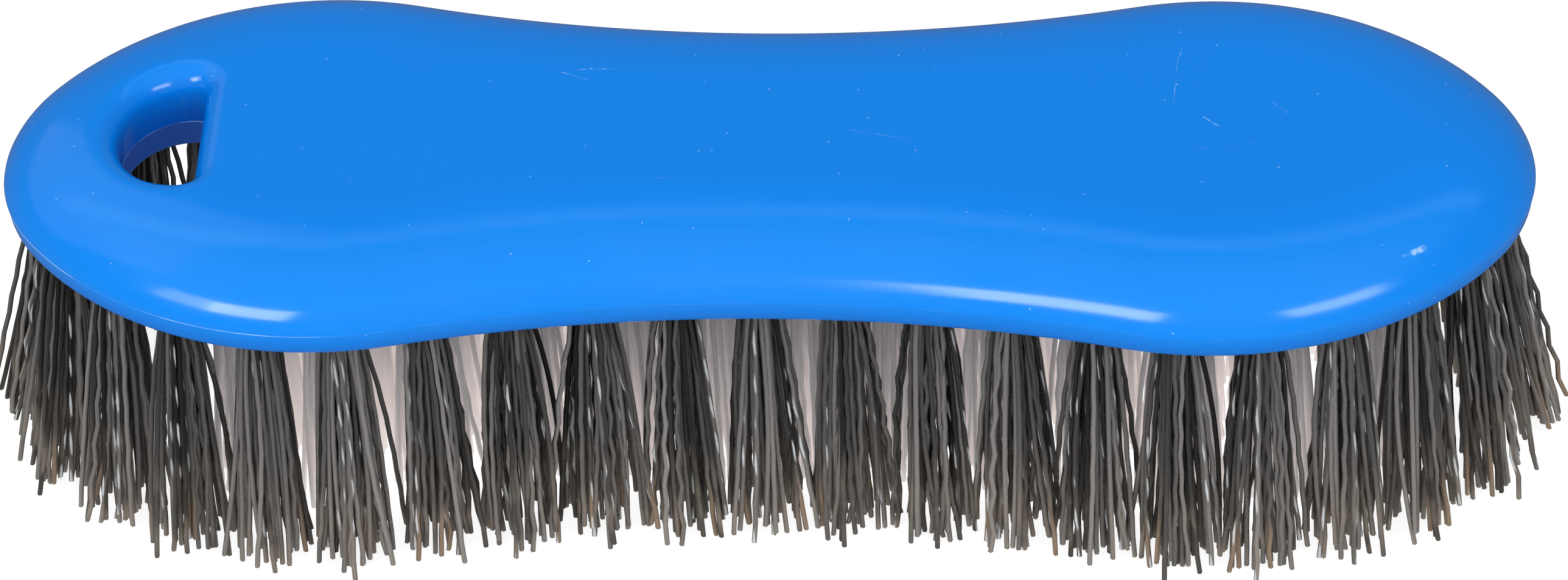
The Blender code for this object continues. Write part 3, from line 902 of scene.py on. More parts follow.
@dataclass
class TuftMaker:
    """Fills tufts with copies of crimped filaments.

    Attributes:
        underside: Height of the block's underside.
        filament: The filament that is copied.
        variants: How many variants of it there are.
        strands: How many a tuft has.
        root_radius: Radius of the tuft in its hole.
        root_depth: How deep its strands stand in the hole.
        fan: How far the outermost strand fans out.
        fan_exponent: How late along the strand the fan comes.
        crowding: At 0.5 the strands stand evenly, and above it closer to the middle.
        side_lean: How far the tips lean out along the sides.
        end_lean: How far they lean out at the ends.
        lean_exponent: How late along the strand the lean comes.
        stray: How far the tips stray.
        stray_exponent: How late along the strand that comes.
        wild_share: Share of the strands that stand off on their own.
        wild: How far these stand off.
        wild_range: Least and greatest share of that.
        bow: How far the strands bow.
        short: How much the shortest strand lacks.
        short_spread: How the lengths are spread, as a beta distribution.
        glint_share: Share of the strands with painted highlights on their bends.
        seed_step: Room in the seeds for the tufts of one piece.
        smooth_angle: Degrees up to which an edge is shaded smooth.
    """

    underside: float
    filament: Filament = field(default_factory=Filament)
    variants: int = 8
    strands: int = 48
    root_radius: float = 2.25 * MM
    root_depth: float = 1.5 * MM
    fan: float = 2.95 * MM
    fan_exponent: float = 0.55
    crowding: float = 0.55
    side_lean: float = 0.2 * MM
    end_lean: float = 4.8 * MM
    lean_exponent: float = 1.15
    stray: float = 0.7 * MM
    stray_exponent: float = 1.1
    wild_share: float = 0.24
    wild: float = 2.4 * MM
    wild_range: tuple[float, float] = (0.3, 1.0)
    bow: float = 0.45 * MM
    short: float = 3.6 * MM
    short_spread: tuple[float, float] = (2.0, 3.0)
    glint_share: float = 0.6
    seed_step: int = 10
    smooth_angle: float = 75.0

    def __post_init__(self) -> None:
        """Model the variants of the filament."""
        self.shapes = [self.filament.model(seed) for seed in range(self.variants)]

    def tuft(
        self, place: Vector, outward: Vector, lean: float, seed: int,
    ) -> tuple[np.ndarray, list[tuple[int, ...]], tuple[np.ndarray, ...]]:
        """Lay out the filaments of one tuft.

        Args:
            place: Where the tuft stands.
            outward: The way that its tips lean.
            lean: How far they lean.
            seed: Makes the tuft its own.

        Returns:
            Its points, its faces, and for each point the strand's tone, how far along it lies and
            how strong its painted highlight is.
        """
        random = np.random.default_rng(seed)
        points, faces, tones, alongs, glints, first = [], [], [], [], [], 0
        golden = math.pi * (3 - math.sqrt(5))
        out = np.array(outward[:])
        spin = random.uniform(0, 2 * math.pi)
        for index in range(self.strands):
            share = ((index + 0.5) / self.strands) ** self.crowding
            angle = spin + index * golden
            spoke = np.array([math.cos(angle), math.sin(angle)])
            root = np.array(place[:2]) + spoke * share * self.root_radius
            sway = random.normal(0, self.stray, 2)
            if random.random() < self.wild_share:
                sway += spoke * self.wild * random.uniform(*self.wild_range)
            tip = spoke * share * self.fan
            bow = random.normal(0, self.bow, 2)
            shape, shape_faces, crest = self.shapes[random.integers(self.variants)]
            turn = random.uniform(0, 2 * math.pi)
            cos, sin = math.cos(turn), math.sin(turn)
            low = self.short * random.beta(*self.short_spread)
            high = self.underside + self.root_depth
            along = -shape[:, 2]
            grown = np.empty_like(shape)
            flat = shape[:, :2] @ np.array([[cos, sin], [-sin, cos]])
            sunk = self.root_depth / high
            free = np.clip((along - sunk) / (1 - sunk), 0, 1)
            grown[:, :2] = (root + flat + np.outer(free ** self.fan_exponent, tip)
                            + np.outer(free ** self.lean_exponent, out * lean)
                            + np.outer(free ** self.stray_exponent, sway)
                            + np.outer(np.sin(math.pi * along), bow))
            grown[:, 2] = high - (high - low) * along
            points.append(grown)
            faces += [tuple(corner + first for corner in face) for face in shape_faces]
            tones.append(np.full(len(shape), random.random()))
            alongs.append(along)
            # Painted highlight: on the strands picked here, some bends get a glint.
            picked = random.random(self.filament.bends + 1) * (random.random() < self.glint_share)
            glints.append(crest * picked[np.rint(along * self.filament.bends).astype(int)])
            first += len(shape)
        marks = tuple(np.concatenate(values) for values in (tones, alongs, glints))
        return np.vstack(points), faces, marks

    def piece(
        self, name: str, spots: Sequence[Spot], upright: bool, seed: int,
    ) -> bpy.types.Object:
        """Make the bristles that stand for one node.

        Args:
            name: The piece's name.
            spots: Place and outward direction of each tuft in it.
            upright: True for tufts that don't lean.
            seed: Makes its tufts their own.

        Returns:
            The finished piece.
        """
        points, faces, marks, first = [], [], [], 0
        for index, (place, outward) in enumerate(spots):
            lean = self.side_lean + (self.end_lean - self.side_lean) * outward.x ** 2
            own_seed = seed * self.seed_step + index
            made = self.tuft(place, outward, 0.0 if upright else lean, own_seed)
            points.append(made[0])
            faces += [tuple(corner + first for corner in face) for face in made[1]]
            marks.append(made[2])
            first += len(made[0])
        mesh = bpy.data.meshes.new(name)
        mesh.from_pydata(np.vstack(points).tolist(), [], faces)
        for label, values in zip(MARKS, zip(*marks)):
            attribute = mesh.attributes.new(label, "FLOAT", "POINT")
            attribute.data.foreach_set("value", np.concatenate(values).astype(np.float32))
        piece = bpy.data.objects.new(name, mesh)
        bpy.context.scene.collection.objects.link(piece)
        select_only(piece)
        bpy.ops.object.shade_smooth_by_angle(angle=math.radians(self.smooth_angle))
        return piece


class Graph:
    """A node tree with short ways to add and join nodes."""

    def __init__(self, tree: bpy.types.NodeTree) -> None:
        """Keep the tree."""
        self.tree = tree

    def add(self, kind: str, **inputs: object) -> bpy.types.Node:
        """Add a node.

        Args:
            kind: The node's type.
            inputs: Values or sockets for its inputs, by name with _ for a space, and
                values for its own settings.

        Returns:
            The node.
        """
        node = self.tree.nodes.new(kind)
        for name, value in inputs.items():
            if hasattr(node, name):
                setattr(node, name, value)
        for name, value in inputs.items():
            if not hasattr(node, name):
                self.put(node.inputs[name.replace("_", " ")], value)
        return node

    def put(self, socket: bpy.types.NodeSocket, value: object) -> None:
        """Link a socket to another, or set its value.

        Args:
            socket: The socket to feed.
            value: What feeds it: a socket or a value.
        """
        if isinstance(value, bpy.types.NodeSocket):
            self.tree.links.new(value, socket)
        else:
            socket.default_value = value

    def math(self, operation: str, a: object, b: object = 0.0) -> bpy.types.NodeSocket:
        """Add a Math node.

        Args:
            operation: What it does.
            a: Value or socket for its first input.
            b: The same for its second.

        Returns:
            Its result.
        """
        node = self.add("ShaderNodeMath", operation=operation)
        self.put(node.inputs[0], a)
        self.put(node.inputs[1], b)
        return node.outputs[0]

    def noise(self, place: object, scale: object, detail: float) -> bpy.types.NodeSocket:
        """Add a noise pattern.

        Args:
            place: The place that it is read at.
            scale: How fine it is.
            detail: How rough its edges are.

        Returns:
            Its value.
        """
        node = self.add("ShaderNodeTexNoise", Vector=place, Scale=scale, Detail=detail)
        return node.outputs["Fac"]

    def vector(self, operation: str, a: object, b: object = None) -> bpy.types.Node:
        """Add a Vector Math node.

        Args:
            operation: What it does.
            a: Value or socket for its first input.
            b: The same for its second, where it has one.

        Returns:
            The node.
        """
        node = self.add("ShaderNodeVectorMath", operation=operation)
        self.put(node.inputs[0], a)
        if b is not None:
            self.put(node.inputs[1], b)
        return node

    def ramp(
        self, value: object, start: float, stop: float, low: float = 0.0, high: float = 1.0,
    ) -> bpy.types.NodeSocket:
        """Map a value smoothly from one range to another.

        Args:
            value: The value.
            start: Where its range starts.
            stop: Where its range stops.
            low: The result at the start.
            high: The result at the stop.

        Returns:
            The result.
        """
        node = self.add("ShaderNodeMapRange", interpolation_type="SMOOTHSTEP")
        for socket, given in zip(node.inputs, (value, start, stop, low, high)):
            self.put(socket, given)
        return node.outputs[0]

    def mix(self, factor: object, a: object, b: object) -> bpy.types.NodeSocket:
        """Mix two colours.

        Args:
            factor: The share of the second.
            a: The first.
            b: The second.

        Returns:
            The mixed colour.
        """
        node = self.add("ShaderNodeMix", data_type="RGBA")
        self.put(node.inputs["Factor"], factor)
        colours = [socket for socket in node.inputs if socket.type == "RGBA"]
        self.put(colours[0], a)
        self.put(colours[1], b)
        return next(socket for socket in node.outputs if socket.type == "RGBA")


def new_group(
    name: str, inputs: dict[str, tuple[str, object]], outputs: dict[str, str],
) -> tuple[bpy.types.NodeTree, Graph, bpy.types.Node, bpy.types.Node]:
    """Start a shader node group.

    Args:
        name: The group's name.
        inputs: Each input's kind and first value.
        outputs: Each output's kind.

    Returns:
        The group, its graph, and its input and output nodes.
    """
    tree = bpy.data.node_groups.new(name, "ShaderNodeTree")
    for label, (kind, value) in inputs.items():
        socket = tree.interface.new_socket(name=label, in_out="INPUT", socket_type=kind)
        socket.default_value = value
    for label, kind in outputs.items():
        tree.interface.new_socket(name=label, in_out="OUTPUT", socket_type=kind)
    graph = Graph(tree)
    return tree, graph, graph.add("NodeGroupInput"), graph.add("NodeGroupOutput")


class Effects:
    """The node groups that the finishes share."""

    def __init__(self) -> None:
        """Build every group once."""
        self.grain = self.make_grain()
        self.specks = self.make_specks()
        self.scratch = self.make_scratch()

    @staticmethod
    def make_grain() -> bpy.types.NodeTree:
        """Build fine moulding grain as a height.

        Returns:
            The group.
        """
        tree, graph, given, result = new_group(
            "fine_grain",
            {"Vector": ("NodeSocketVector", (0, 0, 0)), "Scale": ("NodeSocketFloat", 100.0)},
            {"Height": "NodeSocketFloat"},
        )
        fine = graph.add(
            "ShaderNodeTexNoise", Vector=given.outputs["Vector"], Scale=given.outputs["Scale"],
            Detail=3.0, Roughness=0.6,
        )
        graph.put(result.inputs["Height"], fine.outputs["Fac"])
        return tree

    @staticmethod
    def make_specks() -> bpy.types.NodeTree:
        """Build sparse small specks as a mask.

        Returns:
            The group.
        """
        tree, graph, given, result = new_group(
            "specks",
            {
                "Vector": ("NodeSocketVector", (0, 0, 0)),
                "Scale": ("NodeSocketFloat", 300.0),
                "Size": ("NodeSocketFloat", 0.1),
                "Share": ("NodeSocketFloat", 0.05),
            },
            {"Mask": "NodeSocketFloat"},
        )
        cells = graph.add(
            "ShaderNodeTexVoronoi", Vector=given.outputs["Vector"], Scale=given.outputs["Scale"],
        )
        dot = graph.math("LESS_THAN", cells.outputs["Distance"], given.outputs["Size"])
        pick = graph.add("ShaderNodeSeparateColor", Color=cells.outputs["Color"])
        chosen = graph.math("LESS_THAN", pick.outputs[0], given.outputs["Share"])
        graph.put(result.inputs["Mask"], graph.math("MULTIPLY", dot, chosen))
        return tree

    @staticmethod
    def make_scratch() -> bpy.types.NodeTree:
        """Build one flaking scratch from a start point to an end point as a mask.

        Returns:
            The group.
        """
        tree, graph, given, result = new_group(
            "scratch",
            {
                "Vector": ("NodeSocketVector", (0, 0, 0)),
                "Start": ("NodeSocketVector", (0, 0, 0)),
                "End": ("NodeSocketVector", (1, 0, 0)),
                "Width": ("NodeSocketFloat", 0.1 * MM),
                "Waver": ("NodeSocketFloat", 0.4 * MM),
            },
            {"Mask": "NodeSocketFloat"},
        )
        here = given.outputs["Vector"]
        wobble = graph.add("ShaderNodeTexNoise", Vector=here, Scale=220.0, Detail=1.0)
        shift = graph.vector("SUBTRACT", wobble.outputs["Color"], (0.5, 0.5, 0.5)).outputs[0]
        scaled = graph.add("ShaderNodeVectorMath", operation="SCALE")
        graph.put(scaled.inputs[0], shift)
        graph.put(scaled.inputs["Scale"], given.outputs["Waver"])
        moved = graph.vector("ADD", here, scaled.outputs[0]).outputs[0]
        arm = graph.vector("SUBTRACT", moved, given.outputs["Start"]).outputs[0]
        line = graph.vector("SUBTRACT", given.outputs["End"], given.outputs["Start"]).outputs[0]
        dot = graph.vector("DOT_PRODUCT", arm, line).outputs["Value"]
        whole = graph.vector("DOT_PRODUCT", line, line).outputs["Value"]
        share = graph.add("ShaderNodeMath", operation="DIVIDE", use_clamp=True)
        graph.put(share.inputs[0], dot)
        graph.put(share.inputs[1], whole)
        foot = graph.add("ShaderNodeVectorMath", operation="SCALE")
        graph.put(foot.inputs[0], line)
        graph.put(foot.inputs["Scale"], share.outputs[0])
        apart = graph.vector("DISTANCE", arm, foot.outputs[0]).outputs["Value"]
        ratio = graph.math("DIVIDE", apart, given.outputs["Width"])
        flakes = graph.noise(here, 1300.0, 1.0)
        graph.put(result.inputs["Mask"], graph.math(
            "MULTIPLY", graph.ramp(ratio, 1.0, 0.4),
            graph.ramp(flakes, 0.45, 0.58, 0.2, 1.0),
        ))
        return tree


def use_group(graph: Graph, tree: bpy.types.NodeTree, **inputs: object) -> bpy.types.NodeSocket:
    """Place a group in a graph.

    Args:
        graph: The graph.
        tree: The group.
        inputs: Values or sockets for its inputs, by name.

    Returns:
        Its first output.
    """
    node = graph.add("ShaderNodeGroup", node_tree=tree)
    for name, value in inputs.items():
        graph.put(node.inputs[name], value)
    return node.outputs[0]


def new_material(name: str) -> tuple[bpy.types.Material, Graph, bpy.types.Node]:
    """Start a material.

    Args:
        name: The material's name.

    Returns:
        The material, its graph and its Principled BSDF.
    """
    material = bpy.data.materials.new(name)
    material.use_nodes = True
    graph = Graph(material.node_tree)
    return material, graph, material.node_tree.nodes["Principled BSDF"]


@dataclass(frozen=True)
class Scratch:
    """A scratch on the block, in millimetres.

    Attributes:
        start: Where it starts.
        end: Where it ends.
        width: From its middle to its edge.
        strength: How strongly it shows.
    """

    start: Triple
    end: Triple
    width: float = 0.12
    strength: float = 0.4


@dataclass(frozen=True)
class BluePlastic:
    """Glossy blue moulded polypropylene, a little scuffed, with painted shade at the foot of the
    rim and deep in the hanging hole.

    Attributes:
        parting: Height of the parting line.
        rim_height: Height of the rim under it.
        hole_centre: Centre of the hanging hole's round side.
        hole_reach: Half the hole's sizes, and 1 for its height.
        colour: Colour of the crown.
        cloud_tone: How light its darker clouds are.
        rim_shade_colour: Painted shade at the foot of the rim: the darker blue there.
        hole_shade_colour: Painted shade deep in the hanging hole: the darker blue there.
        worn: Colour of scratches and specks.
        blend: Height over the parting line where the crown's colour is whole again.
        hole_fade: Height over it up to which the painted shade in the hanging hole reaches.
        roughness: Roughness of the crown where it isn't scuffed.
        rubbed_roughness: What rubbing adds to it.
        dull_roughness: Roughness of the hanging hole's lower wall.
        dull_blend: Height over and under the parting line where that fades in.
        specular: Strength of what it mirrors.
        ior: Index of refraction.
        cloud_scale: Fineness of the clouds of colour.
        rub_scale: Fineness of the scuffed patches.
        line_scale: Fineness of the breaks in the parting line's pale edge.
        line_width: Half the width of that edge.
        line_span: X where that edge is whole, and where it has faded.
        grain_scale: Fineness of the moulding grain.
        grain_height: Height of the grain.
        speck_scale: Fineness of the specks' cells.
        speck_strength: How strongly the specks show.
        scratches: The scratches.
    """

    parting: float
    rim_height: float
    hole_centre: Triple
    hole_reach: Triple
    colour: Triple = (0.002, 0.218, 0.785)
    cloud_tone: float = 0.985
    rim_shade_colour: Triple = (0.002, 0.155, 0.60)
    hole_shade_colour: Triple = (0.002, 0.098, 0.47)
    worn: Triple = (0.35, 0.58, 0.86)
    blend: float = 0.5 * MM
    hole_fade: float = 6.0 * MM
    roughness: float = 0.13
    rubbed_roughness: float = 0.05
    dull_roughness: float = 0.7
    dull_blend: float = 0.3 * MM
    specular: float = 0.5
    ior: float = 1.49
    cloud_scale: float = 28.0
    rub_scale: float = 45.0
    line_scale: float = 90.0
    line_width: float = 0.1 * MM
    line_span: tuple[float, float] = (-62 * MM, -45 * MM)
    grain_scale: float = 700.0
    grain_height: float = 0.05 * MM
    speck_scale: float = 600.0
    speck_strength: float = 0.6
    scratches: tuple[Scratch, ...] = (
        Scratch((-27.3, 11.1, 49), (-24.0, 9.6, 49), 0.15, 0.5),
        Scratch((-25.5, 11.6, 49), (-20.5, 11.8, 49), 0.14, 0.45),
        Scratch((54.0, 16.6, 49), (53.4, 13.6, 49), 0.11, 0.4),
        Scratch((53.4, 13.6, 49), (53.2, 9.0, 49), 0.09, 0.22),
        Scratch((53.2, 9.0, 49), (53.0, 4.5, 49), 0.10, 0.32),
        Scratch((57.0, 1.7, 49), (58.9, -0.1, 49), 0.15, 0.55),
        Scratch((65.5, 5.4, 49), (67.8, 2.6, 49), 0.10, 0.25),
        Scratch((11.2, -1.0, 49), (12.6, -1.6, 49), 0.15, 0.5),
        Scratch((12.6, -1.6, 49), (15.9, -2.4, 49), 0.10, 0.25),
        Scratch((15.9, -2.4, 49), (19.2, -3.0, 49), 0.09, 0.12),
        Scratch((19.7, -5.3, 49), (20.1, -6.1, 49), 0.12, 0.35),
        Scratch((-14.4, -11.5, 49), (-8.9, -10.9, 49), 0.10, 0.14),
        Scratch((55.4, -5.0, 49), (63.9, -3.7, 49), 0.10, 0.12),
        Scratch((82.6, -22.9, 45.6), (83.9, -22.2, 45.6), 0.3, 0.3),
        Scratch((83.9, -22.2, 45.6), (85.4, -21.2, 45.5), 0.55, 0.8),
    )

    def make(self, effects: Effects) -> bpy.types.Material:
        """Build the material.

        Args:
            effects: The shared node groups.

        Returns:
            The material.
        """
        material, graph, shader = new_material("glossy_blue_plastic")
        place = graph.add("ShaderNodeTexCoord").outputs["Object"]
        xyz = graph.add("ShaderNodeSeparateXYZ", Vector=place)
        height = xyz.outputs["Z"]
        from_hole = graph.vector("SUBTRACT", place, self.hole_centre).outputs[0]
        scaled = graph.vector("DIVIDE", from_hole, self.hole_reach).outputs[0]
        level = graph.vector("MULTIPLY", scaled, (1.0, 1.0, 0.0)).outputs[0]
        apart = graph.vector("LENGTH", level).outputs["Value"]
        in_hole = graph.ramp(apart, 1.3, 1.0)
        worn = self.wear(graph, effects, place, xyz)
        graph.put(shader.inputs["Base Color"], graph.mix(
            worn, self.tint(graph, place, height, in_hole), (*self.worn, 1),
        ))
        gloss = graph.ramp(
            graph.noise(place, self.rub_scale, 5.0), 0.35, 0.7,
            self.roughness, self.roughness + self.rubbed_roughness,
        )
        lower_wall = graph.math("MULTIPLY", in_hole, graph.ramp(
            height, self.parting + self.dull_blend, self.parting - self.dull_blend,
        ))
        dull = graph.math("MULTIPLY", lower_wall, self.dull_roughness)
        graph.put(shader.inputs["Roughness"], graph.math("MAXIMUM", gloss, dull))
        grain = use_group(graph, effects.grain, Vector=place, Scale=self.grain_scale)
        bump = graph.add(
            "ShaderNodeBump", Height=grain, Strength=0.05, Distance=self.grain_height,
        )
        graph.put(shader.inputs["Normal"], bump.outputs["Normal"])
        shader.inputs["IOR"].default_value = self.ior
        shader.inputs["Specular IOR Level"].default_value = self.specular
        return material

    def tint(
        self, graph: Graph, place: object, height: object, in_hole: object,
    ) -> bpy.types.NodeSocket:
        """Colour the clean plastic, with painted shade darkening it at the foot of the rim and deep
        in the hanging hole.

        Args:
            graph: The material's graph.
            place: The place on the block.
            height: The place's height.
            in_hole: 1 in the hanging hole, 0 away from it.

        Returns:
            The colour.
        """
        clouds = graph.ramp(graph.noise(place, self.cloud_scale, 3.0), 0.3, 0.7)
        darker = (*[value * self.cloud_tone for value in self.colour], 1)
        base = graph.mix(clouds, darker, (*self.colour, 1))
        # Painted shade: from just above the parting line, the colour darkens towards the foot of
        # the rim.
        start, foot = self.parting + self.blend, self.parting - 0.75 * self.rim_height
        below = graph.ramp(height, start, foot)
        base = graph.mix(below, base, (*self.rim_shade_colour, 1))
        # Painted shade: in the hanging hole, the colour darkens downward towards the parting line.
        deep = graph.ramp(height, self.parting + self.hole_fade, start)
        inside = graph.math("MULTIPLY", in_hole, deep)
        return graph.mix(inside, base, (*self.hole_shade_colour, 1))

    def wear(
        self, graph: Graph, effects: Effects, place: object, xyz: bpy.types.Node,
    ) -> bpy.types.NodeSocket:
        """Mark the parting line's pale edge, the scratches and the specks.

        Args:
            graph: The material's graph.
            effects: The shared node groups.
            place: The place on the block.
            xyz: The node that splits the place.

        Returns:
            How worn the place is.
        """
        off_line = graph.math(
            "ABSOLUTE", graph.math("SUBTRACT", xyz.outputs["Z"], self.parting),
        )
        worn = graph.math(
            "MULTIPLY", graph.ramp(off_line, self.line_width, 0.4 * self.line_width),
            graph.ramp(graph.noise(place, self.line_scale, 4.0), 0.42, 0.6, 0.1, 0.8),
        )
        full, faded = self.line_span
        worn = graph.math(
            "MULTIPLY", worn, graph.ramp(xyz.outputs["X"], faded, full, 0.05, 1.0),
        )
        for scratch in self.scratches:
            mask = use_group(
                graph, effects.scratch, Vector=place,
                Start=tuple(c * MM for c in scratch.start),
                End=tuple(c * MM for c in scratch.end), Width=scratch.width * MM,
            )
            worn = graph.math("MAXIMUM", worn, graph.math("MULTIPLY", mask, scratch.strength))
        specks = use_group(
            graph, effects.specks, Vector=place, Scale=self.speck_scale, Size=0.075, Share=0.12,
        )
        strength = graph.math("MULTIPLY", specks, self.speck_strength)
        return graph.math("MAXIMUM", worn, strength)


@dataclass(frozen=True)
class FilamentFinish:
    """Drawn plastic filament, each strand with a tone of its own, with painted highlights on its
    bends, painted shade towards the block and, where glow is set, a painted glow.

    Attributes:
        name: The material's name.
        dark: Colour of the darkest strand.
        light: Colour of the lightest strand.
        tip: Colour that the tips turn to.
        tip_share: How far they turn.
        stain: Colour of the few stained tips.
        stain_share: How far they turn.
        painted_glint: Colour of the painted highlights on the bends.
        painted_glint_share: How far they turn.
        roughness: Roughness of the strand.
        root_shade: Painted shade: how light the strand is at the block, where 1 is as light as its
            tip.
        glow: Painted glow at the tip: light that the strand gives off itself, in place of light
            scattered through it.
        root_glow_share: The share of it at the block.
        stained_tone: Tone of the strands that are stained.
        blotch_scale: Fineness of the blotches of colour at the tips.
        grain_scale: Fineness of the grain.
        grain_height: Height of the grain.
        ior: Index of refraction.
    """

    name: str
    dark: Triple
    light: Triple
    tip: Triple
    tip_share: float
    stain: Triple
    stain_share: float
    painted_glint: Triple
    painted_glint_share: float
    roughness: float
    root_shade: float = 1.0
    glow: float = 0.0
    root_glow_share: float = 0.25
    stained_tone: float = 0.3
    blotch_scale: float = 160.0
    grain_scale: float = 1500.0
    grain_height: float = 0.05 * MM
    ior: float = 1.5

    def make(self, effects: Effects) -> bpy.types.Material:
        """Build the material.

        Args:
            effects: The shared node groups.

        Returns:
            The material.
        """
        material, graph, shader = new_material(self.name)
        place = graph.add("ShaderNodeTexCoord").outputs["Object"]
        tone, along, glint = (
            graph.add("ShaderNodeAttribute", attribute_name=mark).outputs["Fac"] for mark in MARKS
        )
        base = graph.mix(tone, (*self.dark, 1), (*self.light, 1))
        end = graph.math(
            "MULTIPLY", graph.ramp(along, 0.5, 1.0),
            graph.ramp(graph.noise(place, self.blotch_scale, 2.0), 0.4, 0.65, 0.25, 1.0),
        )
        end = graph.math("MULTIPLY", end, self.tip_share)
        base = graph.mix(end, base, (*self.tip, 1))
        off_tone = graph.math("ABSOLUTE", graph.math("SUBTRACT", tone, self.stained_tone))
        picked = graph.ramp(off_tone, 0.06, 0.03)
        stain = graph.math("MULTIPLY", picked, graph.ramp(along, 0.72, 0.92, 0.0, self.stain_share))
        base = graph.mix(stain, base, (*self.stain, 1))
        # Painted highlight: the outer sides of picked bends turn to a bright glint colour.
        bright = graph.math("MULTIPLY", graph.ramp(glint, 0.25, 0.5), self.painted_glint_share)
        base = graph.mix(bright, base, (*self.painted_glint, 1))
        # Painted shade: the strand darkens towards the block.
        lit = graph.ramp(along, 0.05, 0.75, self.root_shade, 1.0)
        shade = graph.vector("SCALE", base)
        graph.put(shade.inputs["Scale"], lit)
        graph.put(shader.inputs["Base Color"], shade.outputs[0])
        grain = use_group(graph, effects.grain, Vector=place, Scale=self.grain_scale)
        graph.put(shader.inputs["Roughness"], graph.ramp(
            grain, 0.3, 0.7, self.roughness - 0.06, self.roughness + 0.08,
        ))
        bump = graph.add(
            "ShaderNodeBump", Height=grain, Strength=0.15, Distance=self.grain_height,
        )
        graph.put(shader.inputs["Normal"], bump.outputs["Normal"])
        # Painted glow: the strand gives off light of its own, strongest at the tip.
        shader.inputs["Emission Color"].default_value = (*self.light, 1)
        graph.put(shader.inputs["Emission Strength"], graph.ramp(
            along, 0.1, 0.9, self.root_glow_share * self.glow, self.glow,
        ))
        shader.inputs["IOR"].default_value = self.ior
        return material


# Both filaments have painted highlights on their bends and painted shade towards the block; the
# white one also has a painted glow.
GREY_FILAMENT = FilamentFinish(
    name="grey_filament", dark=(0.009, 0.0085, 0.0085), light=(0.222, 0.211, 0.204),
    tip=(0.27, 0.225, 0.18), tip_share=0.7, stain=(0.30, 0.20, 0.125), stain_share=0.6,
    painted_glint=(0.60, 0.62, 0.64), painted_glint_share=0.85, roughness=0.25, root_shade=0.75,
)
WHITE_FILAMENT = FilamentFinish(
    name="white_filament", dark=(0.62, 0.58, 0.58), light=(0.94, 0.89, 0.89),
    tip=(0.94, 0.88, 0.82), tip_share=0.8, stain=(0.90, 0.80, 0.68), stain_share=0.5,
    painted_glint=(0.97, 0.95, 0.95), painted_glint_share=0.8, roughness=0.33, root_shade=0.72, glow=0.17,
)


class Use(Enum):
    """What a light is there for: to light surfaces or to be mirrored by them."""

    SHADE = "shade"
    GLOSS = "gloss"


@dataclass(frozen=True)
class SoftLight:
    """A rectangular soft light aimed at the brush.

    Attributes:
        name: The light's name.
        azimuth: Degrees from the front, positive to the right.
        elevation: Degrees above the floor.
        distance: How far off it stands.
        width: Its width.
        height: Its height.
        radiance: How bright its face is.
        use: What it is there for.
        colour: Its colour.
    """

    name: str
    azimuth: float
    elevation: float
    distance: float
    width: float
    height: float
    radiance: float
    use: Use
    colour: Triple = (1.0, 1.0, 1.0)


